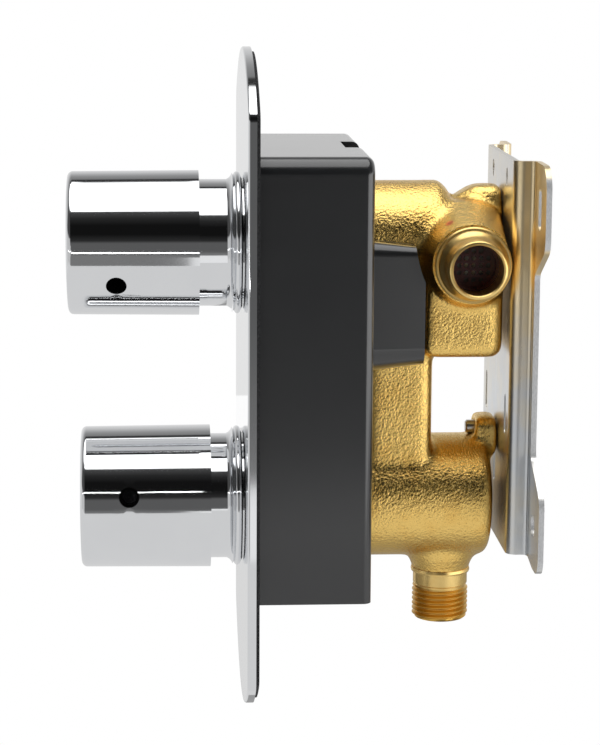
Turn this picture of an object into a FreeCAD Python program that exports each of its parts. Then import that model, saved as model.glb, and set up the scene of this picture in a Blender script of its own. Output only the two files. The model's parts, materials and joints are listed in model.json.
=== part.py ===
import FreeCAD, Part
import math
import os
import re

import Sketcher
from FreeCAD import Placement, Rotation, Vector

# Concealed thermostatic shower valve: chrome faceplate and two knobs in front of a plaster
# guard, a cast brass body with a thermostatic cartridge and a ceramic disc headwork, two side
# inlets with check valves, a bottom outlet and a steel wall bracket.
# Millimetres. +Z is up, the wall is at +Y and the knobs point to -Y. The origin lies on the wall
# face of the bracket, half-way between its two lower fixing holes.

SIZES = {
    # wall bracket
    "sheet_gauge": 2.0,
    "channel_depth": 9.5,
    "channel_width": 70.0,
    "bracket_width": 118.0,
    "bracket_top": 129.5,
    "bracket_foot": 13.5,
    "foot_overhang": 2.0,
    "flange_waist": 3.0,
    "flange_slant": 10.8,
    "upper_flange": 29.1,
    "lower_flange": 12.6,
    "flange_corner": 9.0,
    "toe_corner": 6.0,
    "slant_corner": 7.0,
    "waist_corner": 4.0,
    "bend_radius": 3.8,
    "fixing_spacing": 92.0,
    "fixing_hole": 8.0,
    "fixing_slot_width": 6.0,
    "fixing_slot_length": 15.0,
    "fixing_slot_rise": 113.6,
    "web_slot_width": 4.0,
    "web_slot_length": 14.5,
    "web_slot_spacing": 48.0,
    "web_slot_rise": 36.7,
    "centre_slot_rise": 13.5,
    "keyhole_spacing": 34.0,
    "keyhole_rise": 123.2,
    "keyhole_drop": 1.6,
    "keyhole_bore": 4.6,
    "keyhole_slot_width": 2.4,
    "keyhole_slot_length": 5.0,
    # brass casting
    "axis_spacing": 95.1,
    "lower_axis_rise": 1.4,
    "tube_diameter": 45.8,
    "casting_length": 83.0,
    "casting_gap": 1.4,
    "casting_corner": 4.0,
    "upper_dome_start": 23.5,
    "upper_dome_drop": 5.9,
    "upper_dome_end": 18.5,
    "lower_dome_start": 5.5,
    "lower_dome_rise": 1.8,
    "block_width": 54.0,
    "block_lead": 29.7,
    "block_bottom": 39.2,
    "duct_width": 36.0,
    "duct_front": 49.0,
    "duct_rear": 25.5,
    "duct_bore": 16.0,
    "duct_lead": 38.5,
    "inlet_lead": 14.0,
    "inlet_drop": 3.9,
    "inlet_span": 99.2,
    "inlet_diameter": 21.0,
    "inlet_bore": 17.8,
    "inlet_reach": 8.0,
    "inlet_shoulder": 27.4,
    "inlet_shoulder_length": 3.0,
    "inlet_neck": 5.5,
    "inlet_step": 1.1,
    "inlet_lip": 0.8,
    "inlet_cone_root": 41.6,
    "inlet_cone_start": 24.0,
    "inlet_wall": 24.0,
    "outlet_lead": 19.8,
    "outlet_drop": 47.5,
    "outlet_thread": 20.955,
    "outlet_thread_length": 12.0,
    "outlet_relief": 20.4,
    "outlet_flare": 26.0,
    "outlet_flare_drop": 28.4,
    "outlet_bore": 16.0,
    "channel_bore": 6.8,
    "port_bore": 6.0,
    "drill_past": 0.8,
    "channel_offset": 18.4,
    "hot_port": 30.5,
    "cold_port": 16.5,
    "upper_bore": 28.0,
    "upper_bore_depth": 58.0,
    "lower_bore": 24.0,
    "lower_bore_depth": 54.0,
    "seat_bore": 15.0,
    "seat_passage": 18.0,
    "lug_width": 17.0,
    "lug_corner": 5.0,
    "lug_nose": 7.4,
    "lug_nose_slope": 30.0,
    "upper_lug_lead": 17.2,
    "upper_lug_rise": 21.6,
    "upper_screw_rise": 14.2,
    "lower_lug_lead": 8.5,
    "lower_lug_rise": 30.6,
    "lower_screw_rise": 25.6,
    "edge_chamfer": 0.6,
    # bracket screws
    "screw_diameter": 5.0,
    "screw_clearance": 0.3,
    "screw_head": 9.0,
    "screw_head_height": 2.8,
    "screw_tip": 2.8,
    # plaster guard
    "guard_width": 110.0,
    "guard_top": 132.4,
    "guard_bottom": 25.6,
    "mouth_cover": 7.7,
    "guard_lead": 50.9,
    "guard_wall": 2.2,
    "guard_corner": 6.5,
    "guard_edge": 3.0,
    "guard_fit": 0.3,
    "notch_width": 20.0,
    "notch_depth": 8.0,
    "notch_height": 5.0,
    "scoop_width": 74.0,
    "scoop_top": 101.2,
    "scoop_bottom": 53.2,
    "scoop_length": 20.1,
    "scoop_taper": 7.0,
    "scoop_corner": 6.0,
    "scoop_foot_corner": 9.5,
    "scoop_inner_reach": 5.0,
    "scoop_relief": 3.6,
    "scoop_relief_drop": 15.0,
    # faceplate and its seal
    "plate_width": 122.0,
    "plate_height": 242.0,
    "plate_arc": 20.0,
    "plate_depth": 3.1,
    "plate_skin": 1.2,
    "plate_rim": 1.5,
    "plate_corner": 6.0,
    "plate_edge": 0.8,
    "plate_drop": 2.2,
    "seal_proud": 1.2,
    "seal_band": 11.0,
    "seal_fit": 0.3,
    # shrouds
    "shroud_diameter": 46.4,
    "shroud_wall": 1.6,
    "shroud_tail": 7.0,
    "shroud_overlap": 8.0,
    "plate_hole_fit": 0.3,
    "collar_depth": 5.8,
    "collar_diameter": 52.0,
    "collar_lip": 0.3,
    "collar_inset": 0.5,
    "bead_width": 3.0,
    "bead_gap": 0.3,
    "bead_groove": 1.1,
    "bead_corner": 0.35,
    "bead_inset": 0.8,
    "bead_root": 1.6,
    # knobs
    "knob_front": 52.2,
    "knob_rear": 53.0,
    "knob_length": 47.6,
    "knob_wall": 2.4,
    "knob_face": 4.0,
    "knob_edge": 2.0,
    "knob_hub": 20.0,
    "knob_hub_length": 28.0,
    "upper_knob_gap": 15.8,
    "lower_knob_gap": 11.8,
    "pin_hole": 7.4,
    "pin_hole_depth": 10.0,
    "pin_hole_lead": 17.8,
    "pin_boss": 13.0,
    "upper_knob_turn": 29.0,
    "lower_knob_turn": -12.0,
    "grub_diameter": 5.0,
    "grub_length": 6.0,
    "insert_bore": 15.0,
    "insert_fit": 0.1,
    "insert_length": 22.0,
    "spline_fit": 0.1,
    # glands and spindles
    "flange_thickness": 3.0,
    "flange_diameter": 33.0,
    "gland_diameter": 42.0,
    "gland_length": 7.5,
    "gland_hex": 30.0,
    "gland_hex_length": 6.0,
    "gland_fit": 0.1,
    "neck_diameter": 20.0,
    "neck_length": 18.0,
    "spindle_diameter": 9.0,
    "spindle_fit": 0.08,
    "spindle_collar": 13.0,
    "spindle_collar_length": 3.0,
    "spline_diameter": 8.0,
    "spline_length": 13.0,
    "spline_count": 20.0,
    "spline_groove": 0.9,
    "seal_ring": 1.6,
    "seal_fit_gap": 0.05,
    "stop_ring_diameter": 30.0,
    "stop_ring_length": 3.6,
    "stop_lug_width": 5.0,
    "stop_lug_height": 2.6,
    "stop_lug_inset": 0.8,
    "stop_arm_gap": 0.4,
    "hot_turn": 100.0,
    "cold_turn": 200.0,
    # thermostatic cartridge
    "housing_fit": 0.1,
    "housing_wall": 2.2,
    "housing_length": 42.5,
    "housing_chamber": 31.0,
    "retainer_length": 3.0,
    "retainer_bore": 13.0,
    "port_length": 3.2,
    "port_height": 8.0,
    "shuttle_length": 13.0,
    "shuttle_fit": 0.06,
    "shuttle_wall": 2.0,
    "shuttle_web": 3.0,
    "shuttle_holes": 6.0,
    "shuttle_hole": 3.4,
    "element_diameter": 10.0,
    "element_length": 23.0,
    "element_collar": 11.2,
    "element_collar_length": 1.5,
    "element_pin": 4.0,
    "element_pin_length": 2.0,
    "pusher_length": 7.0,
    "pusher_wall": 1.4,
    "pusher_diameter": 15.0,
    "pusher_play": 1.9,
    "spindle_screw": 6.0,
    "spindle_screw_length": 5.6,
    "return_spring": 17.0,
    "spring_wire": 1.4,
    "spring_end_gap": 0.1,
    # ceramic disc headwork
    "headwork_chamber": 19.2,
    "headwork_lead": 1.5,
    "headwork_chamber_length": 20.0,
    "window_length": 7.5,
    "window_height": 11.0,
    "disc_thickness": 2.5,
    "disc_fit": 0.15,
    "disc_port": 5.0,
    "disc_port_offset": 4.9,
    "driver_length": 2.9,
    "lip_seal_length": 4.0,
    "lip_seal_bore": 13.0,
    # inlet check valves and filters
    "check_fit": 0.05,
    "check_wall": 1.6,
    "check_length": 13.0,
    "check_depth": 12.0,
    "check_seat": 9.0,
    "check_seat_length": 2.6,
    "check_spider": 2.0,
    "check_spider_hole": 2.6,
    "poppet_diameter": 11.0,
    "poppet_thickness": 2.0,
    "poppet_stem": 3.6,
    "poppet_stem_fit": 0.1,
    "poppet_tail": 2.0,
    "poppet_gap": 0.2,
    "check_spring": 7.4,
    "check_wire": 0.8,
    "filter_length": 3.0,
    "filter_skin": 0.8,
    "filter_hole": 1.7,
    "filter_pitch": 2.6,
}

# Places worked out from the sizes above.
PLACES = {
    "web_y": "-channel_depth",
    "low_z": "lower_axis_rise",
    "high_z": "lower_axis_rise + axis_spacing",
    "tube_r": "tube_diameter / 2",
    "casting_rear_y": "web_y - casting_gap",
    "mouth_y": "web_y - casting_length",
    "inlet_y": "web_y - inlet_lead",
    "inlet_z": "high_z - inlet_drop",
    "inlet_end": "inlet_span / 2",
    "outlet_y": "web_y - outlet_lead",
    "outlet_end_z": "low_z - outlet_drop",
    "seat_y": "mouth_y + lower_bore_depth",
    "bore_end_y": "mouth_y + upper_bore_depth",
    "upper_screw_z": "high_z + upper_screw_rise",
    "lower_screw_z": "low_z + lower_screw_rise",
    "guard_rear_y": "web_y - guard_lead",
    "guard_front_y": "mouth_y - mouth_cover",
    "guard_depth": "guard_rear_y - guard_front_y",
    "hot_port_y": "mouth_y + hot_port",
    "cold_port_y": "mouth_y + cold_port",
    "rim_rear_y": "guard_front_y - seal_proud",
    "plate_y": "rim_rear_y - plate_depth",
    "plate_z": "(low_z + high_z) / 2 - plate_drop",
    "shroud_r": "shroud_diameter / 2",
    "knob_bore_r": "knob_front / 2 - knob_wall",
    "flange_y": "mouth_y - flange_thickness",
    "gland_r": "gland_diameter / 2",
    "neck_r": "neck_diameter / 2",
    "spindle_r": "spindle_diameter / 2",
    "neck_y": "flange_y - neck_length",
    "hex_front_y": "flange_y - gland_length - gland_hex_length",
    "housing_r": "upper_bore / 2 - housing_fit",
    "chamber_r": "housing_r - housing_wall",
    "housing_end_y": "mouth_y + housing_length",
    "chamber_y": "housing_end_y - retainer_length - housing_chamber",
    "pusher_y": "chamber_y + spindle_collar_length + spindle_fit + pusher_play",
    "element_y": "pusher_y + pusher_length + element_pin_length",
    "shuttle_y": "(hot_port_y + cold_port_y) / 2 - shuttle_length / 2",
    "shuttle_web_y": "shuttle_y + shuttle_length - shuttle_web",
    "headwork_r": "lower_bore / 2 - housing_fit",
    "headwork_end_y": "seat_y - headwork_lead",
    "headwork_chamber_y": "headwork_end_y - headwork_chamber_length",
    "fixed_disc_y": "seat_y - lip_seal_length - disc_thickness",
    "moving_disc_y": "fixed_disc_y - disc_thickness",
    "disc_r": "headwork_chamber / 2 - disc_fit",
    "check_r": "inlet_bore / 2 - check_fit",
    "poppet_x": "check_end - check_seat_length - poppet_gap",
    "spider_x": "check_start + check_spider",
    "check_end": "inlet_end - check_depth - filter_length",
    "check_start": "check_end - check_length",
}

UP = Vector(0, 0, 1)
BEND = "(1 - sqrt(0.5))"  # how far in from each side the middle of a unit corner arc lies
TURN_AXES = {"X": ("XY_Plane", "H_Axis"), "Y": ("YZ_Plane", "H_Axis"), "Z": ("YZ_Plane", "V_Axis")}

doc = FreeCAD.newDocument("ThermostaticShowerValve")
sheet = doc.addObject("Spreadsheet::Sheet", "dims")
sheet.Label = "dims"
parts = []


def fill_sheet():
    for row, (name, size) in enumerate(SIZES.items(), start=1):
        sheet.set(f"A{row}", name)
        sheet.set(f"B{row}", str(size))
        sheet.setAlias(f"B{row}", name)
    doc.recompute()


def expression(text):
    """The text with each size's name pointed at its cell and each place written out."""
    def swap(match):
        word = match.group(0)
        if word in PLACES:
            return "(" + expression(PLACES[word]) + ")"
        return "dims." + word if word in SIZES else word
    return re.sub(r"[A-Za-z_]+", swap, str(text))


def value(text):
    return float(sheet.evalExpression(expression(text)))


def bind(target, prop, text):
    target.setExpression(prop, expression(text))


def new_body(label, at=("0", "0", "0"), turn=None):
    body = doc.addObject("PartDesign::Body", label)
    body.Label = label
    if turn is not None:
        axis, angle = turn
        body.Placement = Placement(Vector(), Rotation(axis, value(angle)))
        bind(body, "Placement.Rotation.Angle", angle)
    for letter, text in zip("xyz", at):
        bind(body, f"Placement.Base.{letter}", text)
    parts.append(body)
    return body


def origin_plane(body, role):
    return next(item for item in body.Origin.OriginFeatures if item.Role == role)


def new_sketch(body, name, plane, at):
    """A sketch on an origin plane of the body, its own origin moved to the point at."""
    sketch = body.newObject("Sketcher::SketchObject", name)
    sketch.AttachmentSupport = [(origin_plane(body, plane), "")]
    sketch.MapMode = "FlatFace"
    x, y, z = at
    shift = {"XY_Plane": (x, y, z), "XZ_Plane": (x, z, f"-({y})"), "YZ_Plane": (y, z, x)}[plane]
    for letter, text in zip("xyz", shift):
        bind(sketch, f"AttachmentOffset.Base.{letter}", text)
    return sketch


def fix_point(sketch, geometry, end, x, y):
    for kind, text in (("DistanceX", x), ("DistanceY", y)):
        index = sketch.addConstraint(
            Sketcher.Constraint(kind, -1, 1, geometry, end, value(text)))
        bind(sketch, f"Constraints[{index}]", text)


def arc_through(start, middle, end):
    """A counter-clockwise arc through three points, and whether start comes first on it."""
    circle = Part.Arc(start, middle, end).toShape().Curve
    angles = [math.atan2(p.y - circle.Center.y, p.x - circle.Center.x)
              for p in (start, middle, end)]
    forward = (angles[1] - angles[0]) % math.tau < (angles[2] - angles[0]) % math.tau
    first, last = (angles[0], angles[2]) if forward else (angles[2], angles[0])
    if last <= first:
        last += math.tau
    return Part.ArcOfCircle(Part.Circle(circle.Center, UP, circle.Radius), first, last), forward


def draw_outline(sketch, points, arcs=None):
    """A closed outline. arcs gives the middle point of each side that is an arc."""
    arcs = arcs or {}
    corners = [Vector(value(x), value(y), 0) for x, y in points]
    sides = []
    for index, corner in enumerate(corners):
        following = corners[(index + 1) % len(corners)]
        if index in arcs:
            middle = Vector(value(arcs[index][0]), value(arcs[index][1]), 0)
            curve, forward = arc_through(corner, middle, following)
        else:
            curve, forward = Part.LineSegment(corner, following), True
        sides.append((sketch.addGeometry(curve, False), (1, 2) if forward else (2, 1)))
    for index, (side, ends) in enumerate(sides):
        following, following_ends = sides[(index + 1) % len(sides)]
        sketch.addConstraint(
            Sketcher.Constraint("Coincident", side, ends[1], following, following_ends[0]))
    for (side, ends), (x, y) in zip(sides, points):
        fix_point(sketch, side, ends[0], x, y)
    for index, (x, y) in arcs.items():
        mark = sketch.addGeometry(Part.Point(Vector(value(x), value(y), 0)), True)
        sketch.addConstraint(Sketcher.Constraint("PointOnObject", mark, 1, sides[index][0]))
        fix_point(sketch, mark, 1, x, y)


def draw_circle(sketch, x, y, radius):
    circle = Part.Circle(Vector(value(x), value(y), 0), UP, value(radius))
    index = sketch.addGeometry(circle, False)
    fix_point(sketch, index, 3, x, y)
    size = sketch.addConstraint(Sketcher.Constraint("Radius", index, value(radius)))
    bind(sketch, f"Constraints[{size}]", radius)


def rectangle(x0, x1, y0, y1):
    return [(x0, y0), (x1, y0), (x1, y1), (x0, y1)]


def draw_soft_topped(sketch, half_width, low, high, radius):
    """A rectangle, centred left to right, with rounded upper corners."""
    bend = f"({radius}) * {BEND}"
    x, x_in = f"({half_width})", f"({half_width}) - ({radius})"
    points = [(f"-{x}", low), (x, low), (x, f"({high}) - ({radius})"), (x_in, high), (f"-({x_in})", high),
              (f"-{x}", f"({high}) - ({radius})")]
    top = f"({high}) - {bend}"
    draw_outline(sketch, points, {2: (f"{x} - {bend}", top), 4: (f"-({x} - {bend})", top)})


def draw_slot(sketch, x, y, width, length):
    """An upright slot with round ends, its length measured over the ends."""
    left, right = f"({x}) - ({width}) / 2", f"({x}) + ({width}) / 2"
    low = f"({y}) - (({length}) - ({width})) / 2"
    high = f"({y}) + (({length}) - ({width})) / 2"
    corners = [(left, low), (right, low), (right, high), (left, high)]
    draw_outline(sketch, corners, {0: (x, f"({y}) - ({length}) / 2"), 2: (x, f"({y}) + ({length}) / 2")})


def turned(body, name, axis, at, profile, arcs=None, cut=False):
    """A profile of (place along the axis, radius) points turned about an axis through at."""
    plane, reference = TURN_AXES[axis]
    sketch = new_sketch(body, name + "_profile", plane, at)
    swap = reference == "V_Axis"
    draw_outline(sketch, [(r, a) if swap else (a, r) for a, r in profile],
                 {k: (p[1], p[0]) if swap else p for k, p in (arcs or {}).items()})
    kind = "Groove" if cut else "Revolution"
    feature = body.newObject("PartDesign::" + kind, name)
    feature.Profile = sketch
    feature.ReferenceAxis = (sketch, [reference])
    feature.Angle = 360
    return feature


def stretched(body, name, sketch, length, cut=False, both_ways=False, backwards=False, taper=None):
    """A sketch padded (or cut) along its own normal; backwards turns the direction round."""
    kind = "Pocket" if cut else "Pad"
    feature = body.newObject("PartDesign::" + kind, name)
    feature.Profile = sketch
    bind(feature, "Length", length)
    feature.Midplane = both_ways
    feature.Reversed = backwards != cut
    if taper is not None:
        bind(feature, "TaperAngle", taper)
    return feature


def edges_where(feature, test):
    doc.recompute()
    return [f"Edge{index}" for index, edge in enumerate(feature.Shape.Edges, start=1)
            if test(edge)]


def rounded(body, name, base, radius, test):
    edges = edges_where(base, test)
    feature = body.newObject("PartDesign::Fillet", name)
    feature.Base = (base, edges)
    bind(feature, "Radius", radius)
    return feature


def runs_along(edge, letter):
    """Whether a straight edge runs along the named axis."""
    if len(edge.Vertexes) != 2:
        return False
    span = edge.Vertexes[1].Point - edge.Vertexes[0].Point
    return near(abs(getattr(span, letter)), edge.Length)


def near(a, b):
    return abs(a - b) < 1e-4


def middle_of(edge):
    return edge.BoundBox.Center


def circle_at(edge, place, radius):
    """Whether an edge is a whole circle of that radius about the Y axis, in the plane y = place."""
    box = edge.BoundBox
    return near(box.YMin, place) and near(box.YMax, place) and near(box.XMax, radius)


# --- wall bracket -----------------------------------------------------------------------------

def wall_bracket():
    body = new_body("wall_bracket")
    half, gauge, ear = "channel_width / 2", "sheet_gauge", "bracket_width / 2"
    foot_z = "-(bracket_foot + foot_overhang)"
    section = new_sketch(body, "channel_section", "XY_Plane", ("0", "0", foot_z))
    draw_outline(section, [
        (f"-{half}", "web_y"), (half, "web_y"), (half, f"-{gauge}"), (ear, f"-{gauge}"), (ear, "0"),
        (f"{half} - {gauge}", "0"), (f"{half} - {gauge}", f"web_y + {gauge}"),
        (f"-({half} - {gauge})", f"web_y + {gauge}"), (f"-({half} - {gauge})", "0"), (f"-{ear}", "0"),
        (f"-{ear}", f"-{gauge}"), (f"-{half}", f"-{gauge}")])
    channel = stretched(body, "channel", section, "bracket_top + bracket_foot + foot_overhang")
    outer, inner = value(half), value(f"{half} - {gauge}")
    web, face = value("web_y"), -value(gauge)

    def outside_bend(edge):
        c = middle_of(edge)
        return runs_along(edge, "z") and ((near(abs(c.x), outer) and near(c.y, web))
                                          or (near(abs(c.x), inner) and near(c.y, 0)))

    def inside_bend(edge):
        c = middle_of(edge)
        return runs_along(edge, "z") and ((near(abs(c.x), inner) and near(c.y, web - face))
                                          or (near(abs(c.x), outer) and near(c.y, face)))

    bends = rounded(body, "outside_bends", channel, "bend_radius", outside_bend)
    bends = rounded(body, "inside_bends", bends, "bend_radius - sheet_gauge", inside_bend)
    waist = f"{half} + flange_waist"
    beyond = f"{ear} + 1"
    low, high = "lower_flange", "bracket_top - upper_flange"
    for side, sign in (("right", ""), ("left", "-")):
        trim = new_sketch(body, side + "_flange_trim", "XZ_Plane", ("0", "-channel_depth", "0"))
        draw_outline(trim, [
            (f"{sign}({beyond})", low), (f"{sign}({ear})", low), (f"{sign}({waist})", f"{low} + flange_slant"),
            (f"{sign}({waist})", f"{high} - flange_slant"), (f"{sign}({ear})", high),
            (f"{sign}({beyond})", high)])
        stretched(body, side + "_flange_cut", trim, "channel_depth + 1", cut=True, backwards=True)
    trim = new_sketch(body, "foot_trim", "XZ_Plane", ("0", "-channel_depth - 1", "0"))
    toe = f"{waist} + flange_corner"
    draw_outline(trim, [(f"-({toe})", f"{foot_z} - 1"), (toe, f"{foot_z} - 1"), (toe, foot_z),
                        (half, "-bracket_foot"), (f"-({half})", "-bracket_foot"), (f"-({toe})", foot_z)])
    foot = stretched(body, "foot_cut", trim, "channel_depth + 2", cut=True, backwards=True)
    side_x, top, toe_z = value(ear), value("bracket_top"), value(foot_z)
    waist_x, ear_low, ear_high = value(waist), value(low), value(high)

    def ear_corner(edge):
        c = middle_of(edge)
        return runs_along(edge, "y") and near(abs(c.x), side_x) and near(c.z, top)

    def toe_corner(edge):
        c = middle_of(edge)
        return runs_along(edge, "y") and near(abs(c.x), side_x) and near(c.z, toe_z)

    def slant_corner(edge):
        c = middle_of(edge)
        return runs_along(edge, "y") and near(abs(c.x), side_x) and (near(c.z, ear_low) or near(c.z, ear_high))

    def waist_corner(edge):
        c = middle_of(edge)
        return runs_along(edge, "y") and near(abs(c.x), waist_x) and 0 < c.z < top

    corners = rounded(body, "ear_corners", foot, "flange_corner", ear_corner)
    corners = rounded(body, "toe_corners", corners, "toe_corner", toe_corner)
    corners = rounded(body, "slant_corners", corners, "slant_corner", slant_corner)
    rounded(body, "waist_corners", corners, "waist_corner", waist_corner)
    holes = new_sketch(body, "fixing_layout", "XZ_Plane", ("0", "-channel_depth", "0"))
    for sign in ("", "-"):
        draw_circle(holes, f"{sign}fixing_spacing / 2", "0", "fixing_hole / 2")
        draw_slot(holes, f"{sign}fixing_spacing / 2", "fixing_slot_rise", "fixing_slot_width",
                  "fixing_slot_length")
        draw_slot(holes, f"{sign}web_slot_spacing / 2", "web_slot_rise", "web_slot_width",
                  "web_slot_length")
        draw_circle(holes, f"{sign}keyhole_spacing / 2", "keyhole_rise", "keyhole_bore / 2")
    draw_slot(holes, "0", "centre_slot_rise", "web_slot_width", "web_slot_length")
    for name, place in (("upper", "upper_screw_z"), ("lower", "lower_screw_z")):
        draw_circle(holes, "0", place, "screw_diameter / 2 + screw_clearance")
    stretched(body, "fixing_holes", holes, "channel_depth + 1", cut=True, backwards=True)
    keyholes = new_sketch(body, "keyhole_layout", "XZ_Plane", ("0", "-channel_depth", "0"))
    for sign in ("", "-"):
        draw_slot(keyholes, f"{sign}keyhole_spacing / 2", "keyhole_rise - keyhole_drop",
                  "keyhole_slot_width", "keyhole_slot_length")
    stretched(body, "keyhole_slots", keyholes, "channel_depth + 1", cut=True, backwards=True)


def bracket_screws():
    """Two pan head screws that go from the wall side through the web into the casting's lugs."""
    body = new_body("bracket_screws")
    body.AllowCompound = True
    head_y = "web_y + sheet_gauge"
    for name, place, lead in (("upper", "upper_screw_z", "upper_lug_lead"),
                              ("lower", "lower_screw_z", "lower_lug_lead")):
        tip = f"web_y - {lead} - screw_tip"
        radius = "screw_diameter / 2"
        turned(body, name + "_screw", "Y", ("0", "0", place), [
            (tip, "0"), (tip, f"{radius} - edge_chamfer"), (f"{tip} + edge_chamfer", radius), (head_y, radius),
            (head_y, "screw_head / 2"), (f"{head_y} + screw_head_height / 2", "screw_head / 2"),
            (f"{head_y} + screw_head_height", "screw_head / 4"), (f"{head_y} + screw_head_height", "0")])


# --- brass casting ----------------------------------------------------------------------------

def valve_body():
    body = new_body("valve_body")
    block_rear = "casting_rear_y"
    block_front = "web_y - block_lead"
    outline = new_sketch(body, "block_outline", "YZ_Plane", ("0", "0", "0"))
    draw_outline(outline, rectangle(block_front, block_rear, "high_z - block_bottom", "inlet_z"))
    block = stretched(body, "inlet_block", outline, "block_width", both_ways=True)
    low, rear, side = value("high_z - block_bottom"), value(block_rear), value("block_width / 2")

    def block_edge(edge):
        c = middle_of(edge)
        if runs_along(edge, "x"):
            return near(c.z, low)
        return near(c.z, low) or (runs_along(edge, "z") and near(c.y, rear) and near(abs(c.x), side))

    rounded(body, "block_corners", block, "casting_corner", block_edge)
    duct = new_sketch(body, "duct_outline", "XY_Plane", ("0", "0", "low_z"))
    draw_outline(duct, rectangle("-duct_width / 2", "duct_width / 2", "web_y - duct_front",
                                 "web_y - duct_rear"))
    column = stretched(body, "duct", duct, "axis_spacing")
    duct_rear = value("web_y - duct_rear")

    def duct_edge(edge):
        return runs_along(edge, "z") and near(middle_of(edge).y, duct_rear)

    rounded(body, "duct_corners", column, "casting_corner", duct_edge)
    start, end = "web_y - upper_dome_start", "web_y - upper_dome_end"
    turned(body, "upper_tube", "Y", ("0", "0", "high_z"), [
        ("mouth_y", "0"), ("mouth_y", "tube_r"), (start, "tube_r"), (end, "tube_r - upper_dome_drop"),
        (end, "0")],
        {2: (f"({start} + {end}) / 2", "tube_r - upper_dome_drop * 0.3")})
    dome, rear_face = "web_y - lower_dome_start", "casting_rear_y"
    shoulder = f"{rear_face} - lower_dome_rise"
    turned(body, "lower_tube", "Y", ("0", "0", "low_z"), [
        ("mouth_y", "0"), ("mouth_y", "tube_r"), (dome, "tube_r"), (shoulder, "tube_r - casting_corner"),
        (rear_face, "tube_r / 3"), (rear_face, "0")],
        {2: (f"({dome}) * 0.25 + ({shoulder}) * 0.75", f"tube_r - casting_corner * {BEND}")})
    inlets(body)
    outlet(body)
    lugs(body)
    waterways(body)


def inlets(body):
    """A cast cone on each side that ends in a machined spigot."""
    cone, shoulder = "inlet_cone_start / 2", "inlet_shoulder / 2"
    spigot = "inlet_diameter / 2"
    neck = "inlet_end - inlet_reach"
    step = f"{neck} - inlet_neck"
    root = f"{step} - inlet_shoulder_length"
    along = [("0", "inlet_cone_root / 2"), (cone, "inlet_cone_root / 2"), (root, f"{shoulder} + inlet_lip"),
             (root, shoulder), (step, shoulder), (step, f"{shoulder} - inlet_step"),
             (f"{step} + inlet_step", f"{shoulder} - inlet_step"), (neck, spigot),
             ("inlet_end - edge_chamfer", spigot), ("inlet_end", f"{spigot} - edge_chamfer")]
    swell = {6: (f"{neck} - inlet_neck / 3", f"({spigot}) * 0.7 + ({shoulder} - inlet_step) * 0.3")}
    for side, sign in (("right", ""), ("left", "-")):
        points = [(f"{sign}({x})", r) for x, r in along] + [(f"{sign}inlet_end", "0"), ("0", "0")]
        arcs = {k: (f"{sign}({x})", r) for k, (x, r) in swell.items()}
        turned(body, side + "_inlet", "X", ("0", "inlet_y", "inlet_z"), points, arcs)
    behind = new_sketch(body, "rear_plane", "XZ_Plane", ("0", "casting_rear_y", "inlet_z"))
    draw_outline(behind, rectangle("-inlet_end", "inlet_end", "-tube_diameter", "tube_diameter"))
    stretched(body, "rear_cut", behind, "channel_depth", cut=True, backwards=True)
    for side, sign in (("right", ""), ("left", "-")):
        spigot_only = [(f"{sign}({x})", r) for x, r in along[3:]]
        points = spigot_only + [(f"{sign}inlet_end", "0"), (f"{sign}({root})", "0")]
        arcs = {k - 3: (f"{sign}({x})", r) for k, (x, r) in swell.items()}
        turned(body, side + "_spigot", "X", ("0", "inlet_y", "inlet_z"), points, arcs)


def outlet(body):
    thread, relief, flare = "outlet_thread / 2", "outlet_relief / 2", "outlet_flare / 2"
    end, top = "outlet_end_z", "low_z - tube_r + casting_corner"
    shoulder = "low_z - outlet_flare_drop"
    turned(body, "outlet", "Z", ("0", "outlet_y", "0"), [
        (end, "0"), (end, f"{thread} - 1"), (f"{end} + 1", thread), (f"{end} + outlet_thread_length", thread),
        (f"{end} + outlet_thread_length", relief), (shoulder, relief), (shoulder, f"{relief} + edge_chamfer"),
        (f"low_z - tube_r", flare), (top, flare), (top, "0")],
        {6: (f"({shoulder}) * 0.6 + (low_z - tube_r) * 0.4", f"({relief}) * 0.6 + ({flare}) * 0.4")})


def lugs(body):
    """Two bosses that meet the bracket's web and take its screws."""
    half, corner = "lug_width / 2", "lug_corner"
    bend = f"{corner} * {BEND}"
    for name, lead, top, bottom in (
            ("upper", "upper_lug_lead", "high_z + upper_lug_rise", "inlet_z"),
            ("lower", "lower_lug_lead", "low_z + lower_lug_rise", "low_z + tube_r - lug_corner * 1.3")):
        outline = new_sketch(body, name + "_lug_outline", "XZ_Plane", ("0", "web_y", "0"))
        corners = [(f"-{half}", bottom), (half, bottom), (half, f"{top} - {corner}"),
                   (f"{half} - {corner}", top), (f"-({half} - {corner})", top),
                   (f"-{half}", f"{top} - {corner}")]
        arcs = {2: (f"{half} - {bend}", f"{top} - {bend}"), 4: (f"-({half} - {bend})", f"{top} - {bend}")}
        draw_outline(outline, corners, arcs)
        base = lead if name == "lower" else f"({lead} - lug_nose)"
        stretched(body, name + "_lug", outline, base)
        if name == "upper":
            nose = new_sketch(body, "lug_nose_outline", "XZ_Plane", ("0", f"web_y - {base}", "0"))
            draw_outline(nose, corners, arcs)
            stretched(body, "lug_nose", nose, "lug_nose", taper="-lug_nose_slope")


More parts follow.
